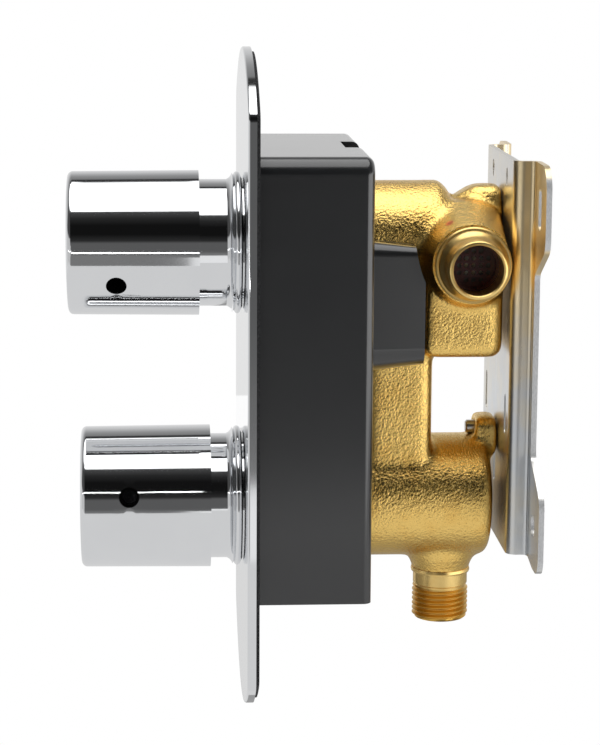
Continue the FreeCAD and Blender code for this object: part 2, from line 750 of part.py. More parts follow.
def waterways(body):
    """The machined bores: both cartridge bores, the inlets, their channels, duct and outlet."""
    turned(body, "upper_cartridge_bore", "Y", ("0", "0", "high_z"), [
        ("mouth_y - 1", "0"), ("mouth_y - 1", "upper_bore / 2"), ("bore_end_y", "upper_bore / 2"),
        ("bore_end_y", "0")], cut=True)
    turned(body, "lower_cartridge_bore", "Y", ("0", "0", "low_z"), [
        ("mouth_y - 1", "0"), ("mouth_y - 1", "lower_bore / 2"), ("seat_y", "lower_bore / 2"),
        ("seat_y", "seat_bore / 2"), ("seat_y + seat_passage", "seat_bore / 2"),
        ("seat_y + seat_passage", "0")], cut=True)
    turned(body, "outlet_way", "Z", ("0", "outlet_y", "0"), [
        ("outlet_end_z - 1", "0"), ("outlet_end_z - 1", "outlet_bore / 2"), ("low_z", "outlet_bore / 2"),
        ("low_z", "0")], cut=True)
    turned(body, "duct_way", "Z", ("0", "web_y - duct_lead", "0"), [
        ("low_z", "0"), ("low_z", "duct_bore / 2"), ("high_z", "duct_bore / 2"), ("high_z", "0")], cut=True)
    for side, sign, port in (("hot", "", "hot_port_y"), ("cold", "-", "cold_port_y")):
        turned(body, side + "_inlet_bore", "X", ("0", "inlet_y", "inlet_z"), [
            (f"{sign}inlet_wall / 2", "0"), (f"{sign}inlet_wall / 2", "inlet_bore / 2"),
            (f"{sign}(inlet_end + 1)", "inlet_bore / 2"), (f"{sign}(inlet_end + 1)", "0")], cut=True)
        drill_end = f"{port} - channel_bore / 2 - drill_past"
        turned(body, side + "_channel", "Y", (f"{sign}channel_offset", "0", "high_z"), [
            (drill_end, "0"), (drill_end, "channel_bore / 2"), ("inlet_y", "channel_bore / 2"),
            ("inlet_y", "0")], cut=True)
        turned(body, side + "_port", "X", ("0", port, "high_z"), [
            (f"{sign}(upper_bore / 2 - 2)", "0"), (f"{sign}(upper_bore / 2 - 2)", "port_bore / 2"),
            (f"{sign}channel_offset", "port_bore / 2"), (f"{sign}channel_offset", "0")], cut=True)
    for name, place, lead in (("upper", "upper_screw_z", "upper_lug_lead"),
                              ("lower", "lower_screw_z", "lower_lug_lead")):
        turned(body, name + "_lug_hole", "Y", ("0", "0", place), [
            ("web_y + 1", "0"), ("web_y + 1", "screw_diameter / 2 + spindle_fit"),
            (f"web_y - {lead} - screw_tip - 1", "screw_diameter / 2 + spindle_fit"),
            (f"web_y - {lead} - screw_tip - 1", "0")], cut=True)


# --- plaster guard ----------------------------------------------------------------------------

def plaster_guard():
    body = new_body("plaster_guard")
    half, wall = "guard_width / 2", "guard_wall"
    outline = new_sketch(body, "guard_outline", "XZ_Plane", ("0", "guard_rear_y", "0"))
    draw_soft_topped(outline, half, "-guard_bottom", "guard_top", "guard_corner")
    shell = stretched(body, "guard_shell", outline, "guard_depth")
    rear, foot = value("guard_rear_y"), value("-guard_bottom")
    rounded(body, "guard_rear_edge", shell, "guard_edge",
            lambda e: near(e.BoundBox.YMin, rear) and near(e.BoundBox.YMax, rear)
            and e.BoundBox.ZMax > foot + 1)
    inside = new_sketch(body, "guard_hollow_outline", "XZ_Plane", ("0", "guard_front_y", "0"))
    draw_soft_topped(inside, f"{half} - {wall}", f"-guard_bottom + {wall}", f"guard_top - {wall}",
                     f"guard_corner - {wall}")
    hollow = stretched(body, "guard_hollow", inside, f"guard_depth - {wall}", cut=True, backwards=True)
    deep = value(f"guard_rear_y - {wall}")
    inner_foot = value(f"-guard_bottom + {wall}")
    rounded(body, "guard_inner_edge", hollow, "guard_edge - guard_wall",
            lambda e: near(e.BoundBox.YMin, deep) and near(e.BoundBox.YMax, deep)
            and e.BoundBox.ZMax > inner_foot + 1)
    scoops(body)
    window = new_sketch(body, "tube_window", "XZ_Plane", ("0", "guard_rear_y - guard_wall - 1", "0"))
    slot = "duct_width / 2 + guard_fit"
    draw_outline(window, rectangle(f"-({slot})", slot, "low_z", "high_z"))
    stretched(body, "duct_opening", window, "guard_wall + 2", cut=True, backwards=True)
    for name, height in (("upper", "high_z"), ("lower", "low_z")):
        hole = new_sketch(body, name + "_tube_outline", "XZ_Plane",
                          ("0", "guard_rear_y - guard_wall - 1", height))
        draw_circle(hole, "0", "0", "tube_r + guard_fit")
        stretched(body, name + "_tube_opening", hole, "scoop_length + guard_wall + 2", cut=True,
                  backwards=True)
    notch = new_sketch(body, "notch_outline", "XY_Plane", ("0", "guard_rear_y", "guard_top - notch_height"))
    draw_outline(notch, rectangle("-notch_width / 2", "notch_width / 2", "-notch_depth", "1"))
    stretched(body, "notch", notch, "notch_height + 1", cut=True, backwards=True)


def scoops(body):
    """Two drafted half-boxes behind the guard that keep plaster off the inlet castings."""
    outer, inner = "scoop_width / 2", "duct_width / 2 + guard_fit"
    wall, corner, foot = "guard_wall", "scoop_corner", "scoop_foot_corner"
    bend, foot_bend = f"{corner} * {BEND}", f"{foot} * {BEND}"
    for side, sign in (("right", ""), ("left", "-")):
        sketch = new_sketch(body, side + "_scoop_outline", "XZ_Plane", ("0", "guard_rear_y - guard_wall", "0"))
        draw_outline(sketch, [
            (f"{sign}({inner})", "scoop_bottom"), (f"{sign}({outer} - {foot})", "scoop_bottom"),
            (f"{sign}({outer})", f"scoop_bottom + {foot}"), (f"{sign}({outer})", f"scoop_top - {corner}"),
            (f"{sign}({outer} - {corner})", "scoop_top"), (f"{sign}({inner})", "scoop_top")],
            {1: (f"{sign}({outer} - {foot_bend})", f"scoop_bottom + {foot_bend}"),
             3: (f"{sign}({outer} - {bend})", f"scoop_top - {bend}")})
        stretched(body, side + "_scoop", sketch, f"scoop_length + {wall}", backwards=True,
                  taper="-scoop_taper")
        inside = new_sketch(body, side + "_scoop_hollow_outline", "XZ_Plane",
                            ("0", "guard_rear_y - guard_wall - 1", "0"))
        draw_outline(inside, [
            (f"{sign}({inner} - scoop_inner_reach)", f"scoop_bottom + {wall}"),
            (f"{sign}({outer} - {foot})", f"scoop_bottom + {wall}"),
            (f"{sign}({outer} - {wall})", f"scoop_bottom + {foot}"),
            (f"{sign}({outer} - {wall})", f"scoop_top - {corner}"),
            (f"{sign}({outer} - {corner})", f"scoop_top - {wall}"),
            (f"{sign}({inner} - scoop_inner_reach)", f"scoop_top - {wall}")],
            {1: (f"{sign}({outer} - {foot_bend} - {wall} * {BEND})",
                 f"scoop_bottom + {foot_bend} + {wall} * {BEND}"),
             3: (f"{sign}({outer} - {bend} - {wall} * {BEND})", f"scoop_top - {bend} - {wall} * {BEND}")})
        stretched(body, side + "_scoop_hollow", inside, f"scoop_length + {wall} + 3", cut=True,
                  backwards=True, taper="-scoop_taper")
    relief = new_sketch(body, "inlet_relief_outline", "YZ_Plane", ("0", "0", "0"))
    end, drop = "guard_rear_y + scoop_length", "scoop_top - scoop_relief_drop"
    along, down = 0.65, 0.55  # where the relief's curve passes, as shares of its depth and its drop
    draw_outline(relief, [(f"{end} + 1", drop), (f"{end} + 1", "scoop_top + 1"),
                          (f"{end} - scoop_relief", "scoop_top + 1"), (f"{end} - scoop_relief", "scoop_top"),
                          (end, drop)],
                 {3: (f"{end} - scoop_relief * {along}", f"scoop_top - scoop_relief_drop * {down}")})
    stretched(body, "inlet_relief", relief, "guard_width", cut=True, both_ways=True)


# --- faceplate and seal -----------------------------------------------------------------------

def plate_outline(sketch, inset):
    """Upright sides and a shallow arc at each end, all drawn in by the inset."""
    half = f"(plate_width / 2 - ({inset}))"
    radius = "((plate_width / 2) ^ 2 + plate_arc ^ 2) / (2 * plate_arc)"
    centre = f"(plate_height / 2 - {radius})"
    corner = f"{centre} + sqrt(({radius} - ({inset})) ^ 2 - {half} ^ 2)"
    apex = f"plate_height / 2 - ({inset})"
    draw_outline(sketch, [(f"-{half}", f"-({corner})"), (half, f"-({corner})"), (half, corner),
                          (f"-{half}", corner)],
                 {0: ("0", f"-({apex})"), 2: ("0", apex)})


def faceplate():
    body = new_body("faceplate", ("0", "plate_y", "plate_z"))
    outline = new_sketch(body, "plate_outline", "XZ_Plane", ("0", "plate_depth", "0"))
    plate_outline(outline, "0")
    blank = stretched(body, "plate_blank", outline, "plate_depth")
    corners = rounded(body, "plate_corners", blank, "plate_corner", lambda e: runs_along(e, "y"))
    rounded(body, "plate_front_edge", corners, "plate_edge",
            lambda e: near(e.BoundBox.YMax, 0) and near(e.BoundBox.YMin, 0))
    dish = new_sketch(body, "dish_outline", "XZ_Plane", ("0", "plate_skin", "0"))
    plate_outline(dish, "plate_rim")
    dish = stretched(body, "dish", dish, "plate_depth", cut=True, backwards=True)
    rim = value("plate_width / 2 - plate_rim")
    rounded(body, "dish_corners", dish, "plate_corner - plate_rim",
            lambda e: runs_along(e, "y") and near(abs(middle_of(e).x), rim))
    holes = new_sketch(body, "shroud_holes", "XZ_Plane", ("0", "plate_depth + 1", "-(plate_z)"))
    for height in ("low_z", "high_z"):
        draw_circle(holes, "0", height, "shroud_r + plate_hole_fit")
    stretched(body, "holes", holes, "plate_depth + 2", cut=True)


def faceplate_seal():
    """Foam set into the back of the plate, standing proud of its rim."""
    body = new_body("faceplate_seal", ("0", "plate_y", "plate_z"))
    proud = "plate_depth + seal_proud"
    outline = new_sketch(body, "seal_outline", "XZ_Plane", ("0", proud, "0"))
    plate_outline(outline, "plate_rim + seal_fit")
    band = stretched(body, "seal_band", outline, f"{proud} - plate_skin")
    rounded(body, "seal_corners", band, "plate_corner - plate_rim", lambda e: runs_along(e, "y"))
    window = new_sketch(body, "seal_window", "XZ_Plane", ("0", f"{proud} + 1", "0"))
    plate_outline(window, "plate_rim + seal_fit + seal_band")
    stretched(body, "seal_opening", window, f"{proud} + 2", cut=True)


# --- shrouds, knobs, inserts ------------------------------------------------------------------

def shroud(label, height, gap):
    """Chrome sleeve with a flared collar and bead that cover the hole in the plate."""
    body = new_body(label, ("0", "plate_y", height))
    outer, inner = "shroud_r", "shroud_r - shroud_wall"
    crest = "collar_diameter / 2"
    bead = "-(bead_gap + bead_width)"
    front, lip, tail = f"-({gap}) - shroud_overlap", f"{bead} - collar_lip", "shroud_tail"
    along, out = 0.55, 0.38  # where the flare's curve passes, as shares of its length and its height
    turned(body, "sleeve", "Y", ("0", "0", "0"), [
        (front, inner), (front, outer), ("-collar_depth", outer), (lip, f"{crest} - collar_inset"),
        (bead, f"{crest} - bead_groove"), (f"{bead} + bead_corner", f"{crest} - bead_inset"),
        ("-bead_gap - bead_corner", f"{crest} - bead_inset"), ("-bead_gap", f"{crest} - bead_root"),
        ("-bead_gap", outer), (tail, outer), (tail, inner)],
        {2: (f"-collar_depth * {1 - along} + ({lip}) * {along}",
             f"({outer}) * {1 - out} + ({crest}) * {out} - bead_corner"),
         5: (f"({bead}) / 2 - bead_gap / 2", crest)})


def knob(label, height, gap, turn):
    body = new_body(label, ("0", f"plate_y - {gap}", height), (Vector(0, 1, 0), turn))
    front_r, rear_r, bore_r = "knob_front / 2", "knob_rear / 2", "knob_bore_r"
    front = "-knob_length"
    hub_end = f"{front} + knob_hub_length"
    turned(body, "shell", "Y", ("0", "0", "0"), [
        (front, "0"), (front, front_r), ("0", rear_r), ("0", bore_r), (f"{front} + knob_face", bore_r),
        (f"{front} + knob_face", "knob_hub / 2"), (hub_end, "knob_hub / 2"), (hub_end, "insert_bore / 2"),
        (f"{front} + knob_face", "insert_bore / 2"), (f"{front} + knob_face", "0")])
    boss_at = f"{front} + pin_hole_lead"
    boss = new_sketch(body, "pin_boss_outline", "YZ_Plane", ("insert_bore / 2 + 1", boss_at, "0"))
    draw_circle(boss, "0", "0", "pin_boss / 2")
    shell = stretched(body, "pin_boss", boss, "knob_bore_r - insert_bore / 2")
    place, radius = value(front), value(front_r)
    rounded(body, "front_edge", shell, "knob_edge", lambda e: circle_at(e, place, radius))
    hole = new_sketch(body, "pin_hole_outline", "YZ_Plane", (rear_r, boss_at, "0"))
    draw_circle(hole, "0", "0", "pin_hole / 2")
    stretched(body, "pin_hole", hole, "pin_hole_depth", cut=True, backwards=True)
    thread = new_sketch(body, "grub_hole_outline", "YZ_Plane", (rear_r, boss_at, "0"))
    draw_circle(thread, "0", "0", "grub_diameter / 2 + spindle_fit")
    stretched(body, "grub_hole", thread, f"{rear_r} - insert_bore / 2 + 1", cut=True, backwards=True)


def knob_insert(label, height, gap, turn):
    """Plastic adapter between the knob's hub and the splines."""
    body = new_body(label, ("0", f"plate_y - {gap}", height), (Vector(0, 1, 0), turn))
    outer = "insert_bore / 2 - insert_fit"
    bore = "spline_diameter / 2 + spline_fit"
    front = "-knob_length + knob_face"
    end, stop = f"{front} + insert_length", f"{front} + insert_length - spline_length"
    turned(body, "sleeve", "Y", ("0", "0", "0"), [
        (front, "0"), (front, outer), (end, outer), (end, bore), (stop, bore), (stop, "0")])
    return body


def stop_carrier(body, gap):
    """The long sleeve and arm of the thermostat's insert, which reach the stop ring."""
    outer, inner = "insert_bore / 2 - insert_fit", "spindle_r + stop_arm_gap"
    rim = "stop_ring_diameter / 2 - stop_lug_inset"
    start = "-knob_length + knob_face + insert_length"
    lug_y = "hex_front_y - bead_gap - stop_ring_length - stop_lug_height - stop_arm_gap"
    face = f"{lug_y} - (plate_y - {gap})"
    turned(body, "carrier", "Y", ("0", "0", "0"), [
        (start, inner), (start, outer), (f"{face} - stop_lug_height", outer),
        (f"{face} - stop_lug_height", rim), (face, rim), (face, inner)])
    arm = new_sketch(body, "arm_outline", "XZ_Plane", ("0", face, "0"))
    half = "stop_lug_width / 2"
    draw_outline(arm, rectangle("neck_r + gland_fit + stop_lug_inset", rim, f"-{half}", half))
    stretched(body, "arm", arm, "stop_lug_height", backwards=True)


def grub_screw(label, height, gap, turn):
    body = new_body(label, ("0", f"plate_y - {gap}", height), (Vector(0, 1, 0), turn))
    foot = "insert_bore / 2 - insert_fit"
    at = ("0", "-knob_length + pin_hole_lead", "0")
    radius = "grub_diameter / 2"
    turned(body, "screw", "X", at, [
        (foot, "0"), (foot, f"{radius} - edge_chamfer"), (f"{foot} + edge_chamfer", radius),
        (f"{foot} + grub_length", radius),
        (f"{foot} + grub_length", "0")])
    socket = new_sketch(body, "socket_outline", "YZ_Plane", (f"{foot} + grub_length", at[1], "0"))
    hexagon(socket, "grub_diameter / 2")
    stretched(body, "socket", socket, "grub_length / 2", cut=True, backwards=True)


# --- glands and spindles ----------------------------------------------------------------------

def hexagon(sketch, across_flats):
    flat = f"({across_flats}) / 2"
    side = f"({flat}) / cos(30)"
    draw_outline(sketch, [(f"-({side})", "0"), (f"-({side}) / 2", f"-({flat})"),
                          (f"({side}) / 2", f"-({flat})"), (side, "0"), (f"({side}) / 2", flat),
                          (f"-({side}) / 2", flat)])


def gland_nut(label, height):
    """Brass nut that clamps the cartridge's flange to the casting and carries the shroud's ring."""
    body = new_body(label, ("0", "mouth_y", height))
    inner = "neck_r + gland_fit"
    seat, front = "-flange_thickness", "-flange_thickness - gland_length"
    groove = f"{seat} - gland_length / 2"
    depth = "gland_r - seal_ring + 0.05"
    half = "seal_ring * 0.6"
    turned(body, "ring", "Y", ("0", "0", "0"), [
        (front, inner), (front, "gland_r"), (f"{groove} - {half}", "gland_r"), (f"{groove} - {half}", depth),
        (f"{groove} + {half}", depth), (f"{groove} + {half}", "gland_r"), (seat, "gland_r"), (seat, inner)])
    outline = new_sketch(body, "hex_outline", "XZ_Plane", ("0", front, "0"))
    hexagon(outline, "gland_hex")
    draw_circle(outline, "0", "0", inner)
    stretched(body, "hex", outline, "gland_hex_length")


def ring_seal(body, name, at, across):
    """An O-ring about an axis along Y, given by the diameter at the middle of its section."""
    sketch = new_sketch(body, name + "_section", "YZ_Plane", at)
    draw_circle(sketch, "0", f"({across}) / 2", "seal_ring / 2")
    feature = body.newObject("PartDesign::Revolution", name)
    feature.Profile = sketch
    feature.ReferenceAxis = (sketch, ["H_Axis"])
    feature.Angle = 360


def spindle(label, height, gap, turn, tail):
    """Splined brass spindle; tail is the list of profile points at its inner end."""
    body = new_body(label, ("0", "0", height), (Vector(0, 1, 0), turn))
    tip = f"plate_y - {gap} - knob_length + knob_face + insert_length - spline_length + spindle_fit"
    spline = "spline_diameter / 2"
    turned(body, "stem", "Y", ("0", "0", "0"), [
        (tip, "0"), (tip, f"{spline} - edge_chamfer"), (f"{tip} + edge_chamfer", spline),
        (f"{tip} + spline_length", spline),
        (f"{tip} + spline_length", "spindle_r")] + tail)
    groove = new_sketch(body, "spline_groove_outline", "XZ_Plane", ("0", tip, "0"))
    half, depth = "spline_groove / 2", f"{spline} - spline_groove * 0.8"
    draw_outline(groove, [("0", depth), (half, f"{spline} + 0.3"), (f"-{half}", f"{spline} + 0.3")])
    cut = stretched(body, "spline_groove", groove, "spline_length", cut=True, backwards=True)
    around_axis(body, "splines", cut, "spline_count")


def around_axis(body, name, feature, count):
    """Copies of a feature, evenly spaced about the body's Y axis."""
    pattern = body.newObject("PartDesign::PolarPattern", name)
    pattern.Originals = [feature]
    pattern.Axis = (origin_plane(body, "Y_Axis"), [""])
    pattern.Angle = 360
    bind(pattern, "Occurrences", count)
    body.Tip = pattern


def seals(label, rings):
    """A group of O-rings, each (name, centre, diameter at the middle of its section)."""
    body = new_body(label)
    body.AllowCompound = True
    for name, at, across in rings:
        ring_seal(body, name, at, across)


# --- thermostatic cartridge -------------------------------------------------------------------

HOUSING_SEALS = ("cold_port_y - port_bore / 2 - seal_ring",
                 "(hot_port_y + cold_port_y) / 2",
                 "hot_port_y + port_bore / 2 + seal_ring")


def seal_groove(body, name, place, outer, floor, height="0"):
    half = "seal_ring * 0.6"
    turned(body, name, "Y", ("0", "0", height), [
        (f"{place} - {half}", floor), (f"{place} - {half}", f"{outer} + 1"),
        (f"{place} + {half}", f"{outer} + 1"), (f"{place} + {half}", floor)], cut=True)


def thermostat_housing():
    body = new_body("thermostat_cartridge_housing", ("0", "0", "high_z"))
    bore, pocket = "spindle_r + spindle_fit", "spindle_r + seal_ring + seal_fit_gap"
    turned(body, "housing", "Y", ("0", "0", "0"), [
        ("neck_y", pocket), ("neck_y", "neck_r"), ("flange_y", "neck_r"), ("flange_y", "flange_diameter / 2"),
        ("mouth_y", "flange_diameter / 2"), ("mouth_y", "housing_r"), ("housing_end_y", "housing_r"),
        ("housing_end_y", "chamber_r"), ("chamber_y", "chamber_r"), ("chamber_y", bore),
        ("neck_y + seal_ring * 1.3", bore), ("neck_y + seal_ring * 1.3", pocket)])
    for index, place in enumerate(HOUSING_SEALS):
        seal_groove(body, f"seal_groove_{index}", place, "housing_r",
                    "upper_bore / 2 - seal_fit_gap * 2 - seal_ring")
    ports = new_sketch(body, "port_outline", "YZ_Plane", ("0", "mouth_y", "0"))
    for port in ("hot_port", "cold_port"):
        draw_outline(ports, rectangle(f"{port} - port_length / 2", f"{port} + port_length / 2",
                                      "-port_height / 2", "port_height / 2"))
    stretched(body, "ports", ports, "upper_bore", cut=True, both_ways=True)


def spring_retainer():
    body = new_body("thermostat_spring_retainer", ("0", "housing_end_y", "high_z"))
    outer, inner = "chamber_r - shuttle_fit", "retainer_bore / 2"
    turned(body, "ring", "Y", ("0", "0", "0"), [
        ("-retainer_length", inner), ("-retainer_length", outer), ("0", outer), ("0", inner)])


def stop_ring():
    """Plastic ring on the housing's neck; its lug meets the arm of the knob's insert."""
    turn = "upper_knob_turn + (cold_turn - hot_turn) / 2"
    body = new_body("temperature_stop_ring", ("0", "hex_front_y - bead_gap", "high_z"),
                    (Vector(0, 1, 0), turn))
    inner, outer = "neck_r + gland_fit", "stop_ring_diameter / 2"
    turned(body, "ring", "Y", ("0", "0", "0"), [
        ("-stop_ring_length", inner), ("-stop_ring_length", outer), ("0", outer), ("0", inner)])
    lug = new_sketch(body, "lug_outline", "XZ_Plane", ("0", "-stop_ring_length", "0"))
    half = "stop_lug_width / 2"
    draw_outline(lug, rectangle(f"-({outer} - stop_lug_inset)", f"-({inner} + stop_lug_inset)",
                                f"-{half}", half))
    stretched(body, "lug", lug, "stop_lug_height")


def wax_element():
    body = new_body("wax_element", ("0", "element_y", "high_z"))
    radius = "element_diameter / 2"
    collar, web = "element_collar / 2", "shuttle_web_y - element_y"
    turned(body, "element", "Y", ("0", "0", "0"), [
        ("-element_pin_length", "0"), ("-element_pin_length", "element_pin / 2"), ("0", "element_pin / 2"),
        ("0", radius), (f"{web} - element_collar_length", radius), (f"{web} - element_collar_length", collar),
        (web, collar), (web, radius), ("element_length - 1", radius), ("element_length", f"{radius} - 1"),
        ("element_length", "0")])


def pusher():
    """Threaded nut on the spindle's screw; it presses on the element's pin."""
    body = new_body("regulating_nut", ("0", "pusher_y", "high_z"))
    bore, outer = "spindle_screw / 2 + spindle_fit", "pusher_diameter / 2"
    turned(body, "nut", "Y", ("0", "0", "0"), [
        ("0", bore), ("0", outer), ("pusher_length", outer), ("pusher_length", "0"),
        ("pusher_length - pusher_wall", "0"), ("pusher_length - pusher_wall", bore)])


def shuttle():
    body = new_body("mixing_shuttle", ("0", "shuttle_y", "high_z"))
    outer = "chamber_r - shuttle_fit"
    inner, hub = f"{outer} - shuttle_wall", "element_diameter / 2 + seal_fit_gap"
    web = "shuttle_length - shuttle_web"
    turned(body, "sleeve", "Y", ("0", "0", "0"), [
        ("0", inner), ("0", outer), ("shuttle_length", outer), ("shuttle_length", hub), (web, hub),
        (web, inner)])
    hole = new_sketch(body, "hole_outline", "XZ_Plane", ("0", f"{web} - 1", "0"))
    draw_circle(hole, "0", f"({inner} + {hub}) / 2", "shuttle_hole / 2")
    holes = stretched(body, "water_hole", hole, "shuttle_web + 2", cut=True, backwards=True)
    around_axis(body, "water_holes", holes, "shuttle_holes")


def spring_sleeve(label, at, axis, start, end, across, wire, turn_sign=""):
    """A coil spring, drawn as the sleeve that its turns fill."""
    body = new_body(label, at)
    outer, inner = f"{across} / 2", f"{across} / 2 - {wire}"
    turned(body, "coil", axis, ("0", "0", "0"), [
        (f"{turn_sign}({start})", inner), (f"{turn_sign}({start})", outer), (f"{turn_sign}({end})", outer),
        (f"{turn_sign}({end})", inner)])


# --- ceramic disc headwork --------------------------------------------------------------------

def headwork():
    body = new_body("flow_headwork_body", ("0", "0", "low_z"))
    bore, pocket = "spindle_r + spindle_fit", "spindle_r + seal_ring + seal_fit_gap"
    chamber = "headwork_chamber / 2"
    turned(body, "housing", "Y", ("0", "0", "0"), [
        ("neck_y", pocket), ("neck_y", "neck_r"), ("flange_y", "neck_r"), ("flange_y", "flange_diameter / 2"),
        ("mouth_y", "flange_diameter / 2"), ("mouth_y", "headwork_r"), ("headwork_end_y", "headwork_r"),
        ("headwork_end_y", chamber), ("headwork_chamber_y", chamber), ("headwork_chamber_y", bore),
        ("neck_y + seal_ring * 1.3", bore), ("neck_y + seal_ring * 1.3", pocket)])
    seal_groove(body, "seal_groove", "headwork_chamber_y - seal_ring * 2", "headwork_r",
                "lower_bore / 2 - seal_fit_gap * 2 - seal_ring")
    windows = new_sketch(body, "window_outline", "YZ_Plane", ("0", "moving_disc_y - driver_length", "0"))
    draw_outline(windows, rectangle("-window_length", "0", "-window_height / 2", "window_height / 2"))
    stretched(body, "side_windows", windows, "lower_bore", cut=True, both_ways=True)
    upper = new_sketch(body, "top_window_outline", "XY_Plane", ("0", "moving_disc_y - driver_length", "0"))
    draw_outline(upper, rectangle("-window_height / 2", "window_height / 2", "-window_length", "0"))
    stretched(body, "top_window", upper, "lower_bore", cut=True, backwards=True)


def ceramic_disc(label, start, port_axis):
    """A disc with two water ports, opposite each other across its centre."""
    body = new_body(label, ("0", start, "low_z"))
    outline = new_sketch(body, "disc_outline", "XZ_Plane", ("0", "disc_thickness", "0"))
    draw_circle(outline, "0", "0", "disc_r")
    for sign in ("", "-"):
        offset = f"{sign}disc_port_offset"
        x, y = (offset, "0") if port_axis == "x" else ("0", offset)
        draw_circle(outline, x, y, "disc_port / 2")
    stretched(body, "disc", outline, "disc_thickness")


def lip_seal():
    body = new_body("flow_seat_seal", ("0", "seat_y", "low_z"))
    turned(body, "seal", "Y", ("0", "0", "0"), [
        ("-lip_seal_length", "lip_seal_bore / 2"), ("-lip_seal_length", "disc_r"), ("0", "disc_r"),
        ("0", "lip_seal_bore / 2")])


# --- inlet check valves and filters -----------------------------------------------------------

def check_valve(side, sign):
    body = new_body(side + "_check_valve_body", ("0", "inlet_y", "inlet_z"))
    inner, stem = "check_r - check_wall", "poppet_stem / 2 + poppet_stem_fit"
    seat = "check_end - check_seat_length"
    turned(body, "shell", "X", ("0", "0", "0"), [(f"{sign}({x})", r) for x, r in (
        ("check_start", stem), ("check_start", "check_r"), ("check_end", "check_r"),
        ("check_end", "check_seat / 2"), (seat, "check_seat / 2"), (seat, inner), ("spider_x", inner),
        ("spider_x", stem))])
    holes = new_sketch(body, "spider_hole_outline", "YZ_Plane",
                       (f"{sign}(check_start + check_spider / 2)", "0", "0"))
    offset = f"({inner} + {stem}) / 2"
    for dy, dz in ((offset, "0"), (f"-({offset})", "0"), ("0", offset), ("0", f"-({offset})")):
        draw_circle(holes, dy, dz, "check_spider_hole / 2")
    stretched(body, "spider_holes", holes, "check_spider + 0.4", cut=True, both_ways=True)
    body = new_body(side + "_check_poppet", ("0", "inlet_y", "inlet_z"))
    stem, head = "poppet_stem / 2", "poppet_diameter / 2"
    back, tail = "poppet_x - poppet_thickness", "check_start - poppet_tail"
    turned(body, "poppet", "X", ("0", "0", "0"), [(f"{sign}({x})", r) for x, r in (
        (tail, "0"), (tail, stem), (back, stem), (back, head), ("poppet_x - poppet_thickness / 2", head),
        ("poppet_x", f"{head} - 1.2"), ("poppet_x", "0"))])
    spring_sleeve(side + "_check_spring", ("0", "inlet_y", "inlet_z"), "X", "spider_x + spring_end_gap",
                  f"{back} - spring_end_gap", "check_spring", "check_wire", sign)


def inlet_filters():
    """A perforated strainer cup in each inlet, ahead of its check valve."""
    body = new_body("inlet_filters", ("0", "inlet_y", "inlet_z"))
    body.AllowCompound = True
    for side, sign in (("hot", ""), ("cold", "-")):
        skin, end = "check_end + filter_skin", "check_end + filter_length"
        turned(body, side + "_cup", "X", ("0", "0", "0"), [(f"{sign}({x})", r) for x, r in (
            ("check_end", "0"), ("check_end", "check_r"), (end, "check_r"), (end, "check_r - 1"),
            (skin, "check_r - 1"), (skin, "0"))])
        mesh = new_sketch(body, side + "_mesh_outline", "YZ_Plane",
                          (f"{sign}(check_end + filter_skin / 2)", "0", "0"))
        for row in range(-2, 3):
            for column in range(-2, 3):
                if abs(row) + abs(column) < 4:
                    draw_circle(mesh, f"{column} * filter_pitch", f"{row} * filter_pitch", "filter_hole / 2")
        stretched(body, side + "_mesh", mesh, "filter_skin + 0.4", cut=True, both_ways=True)


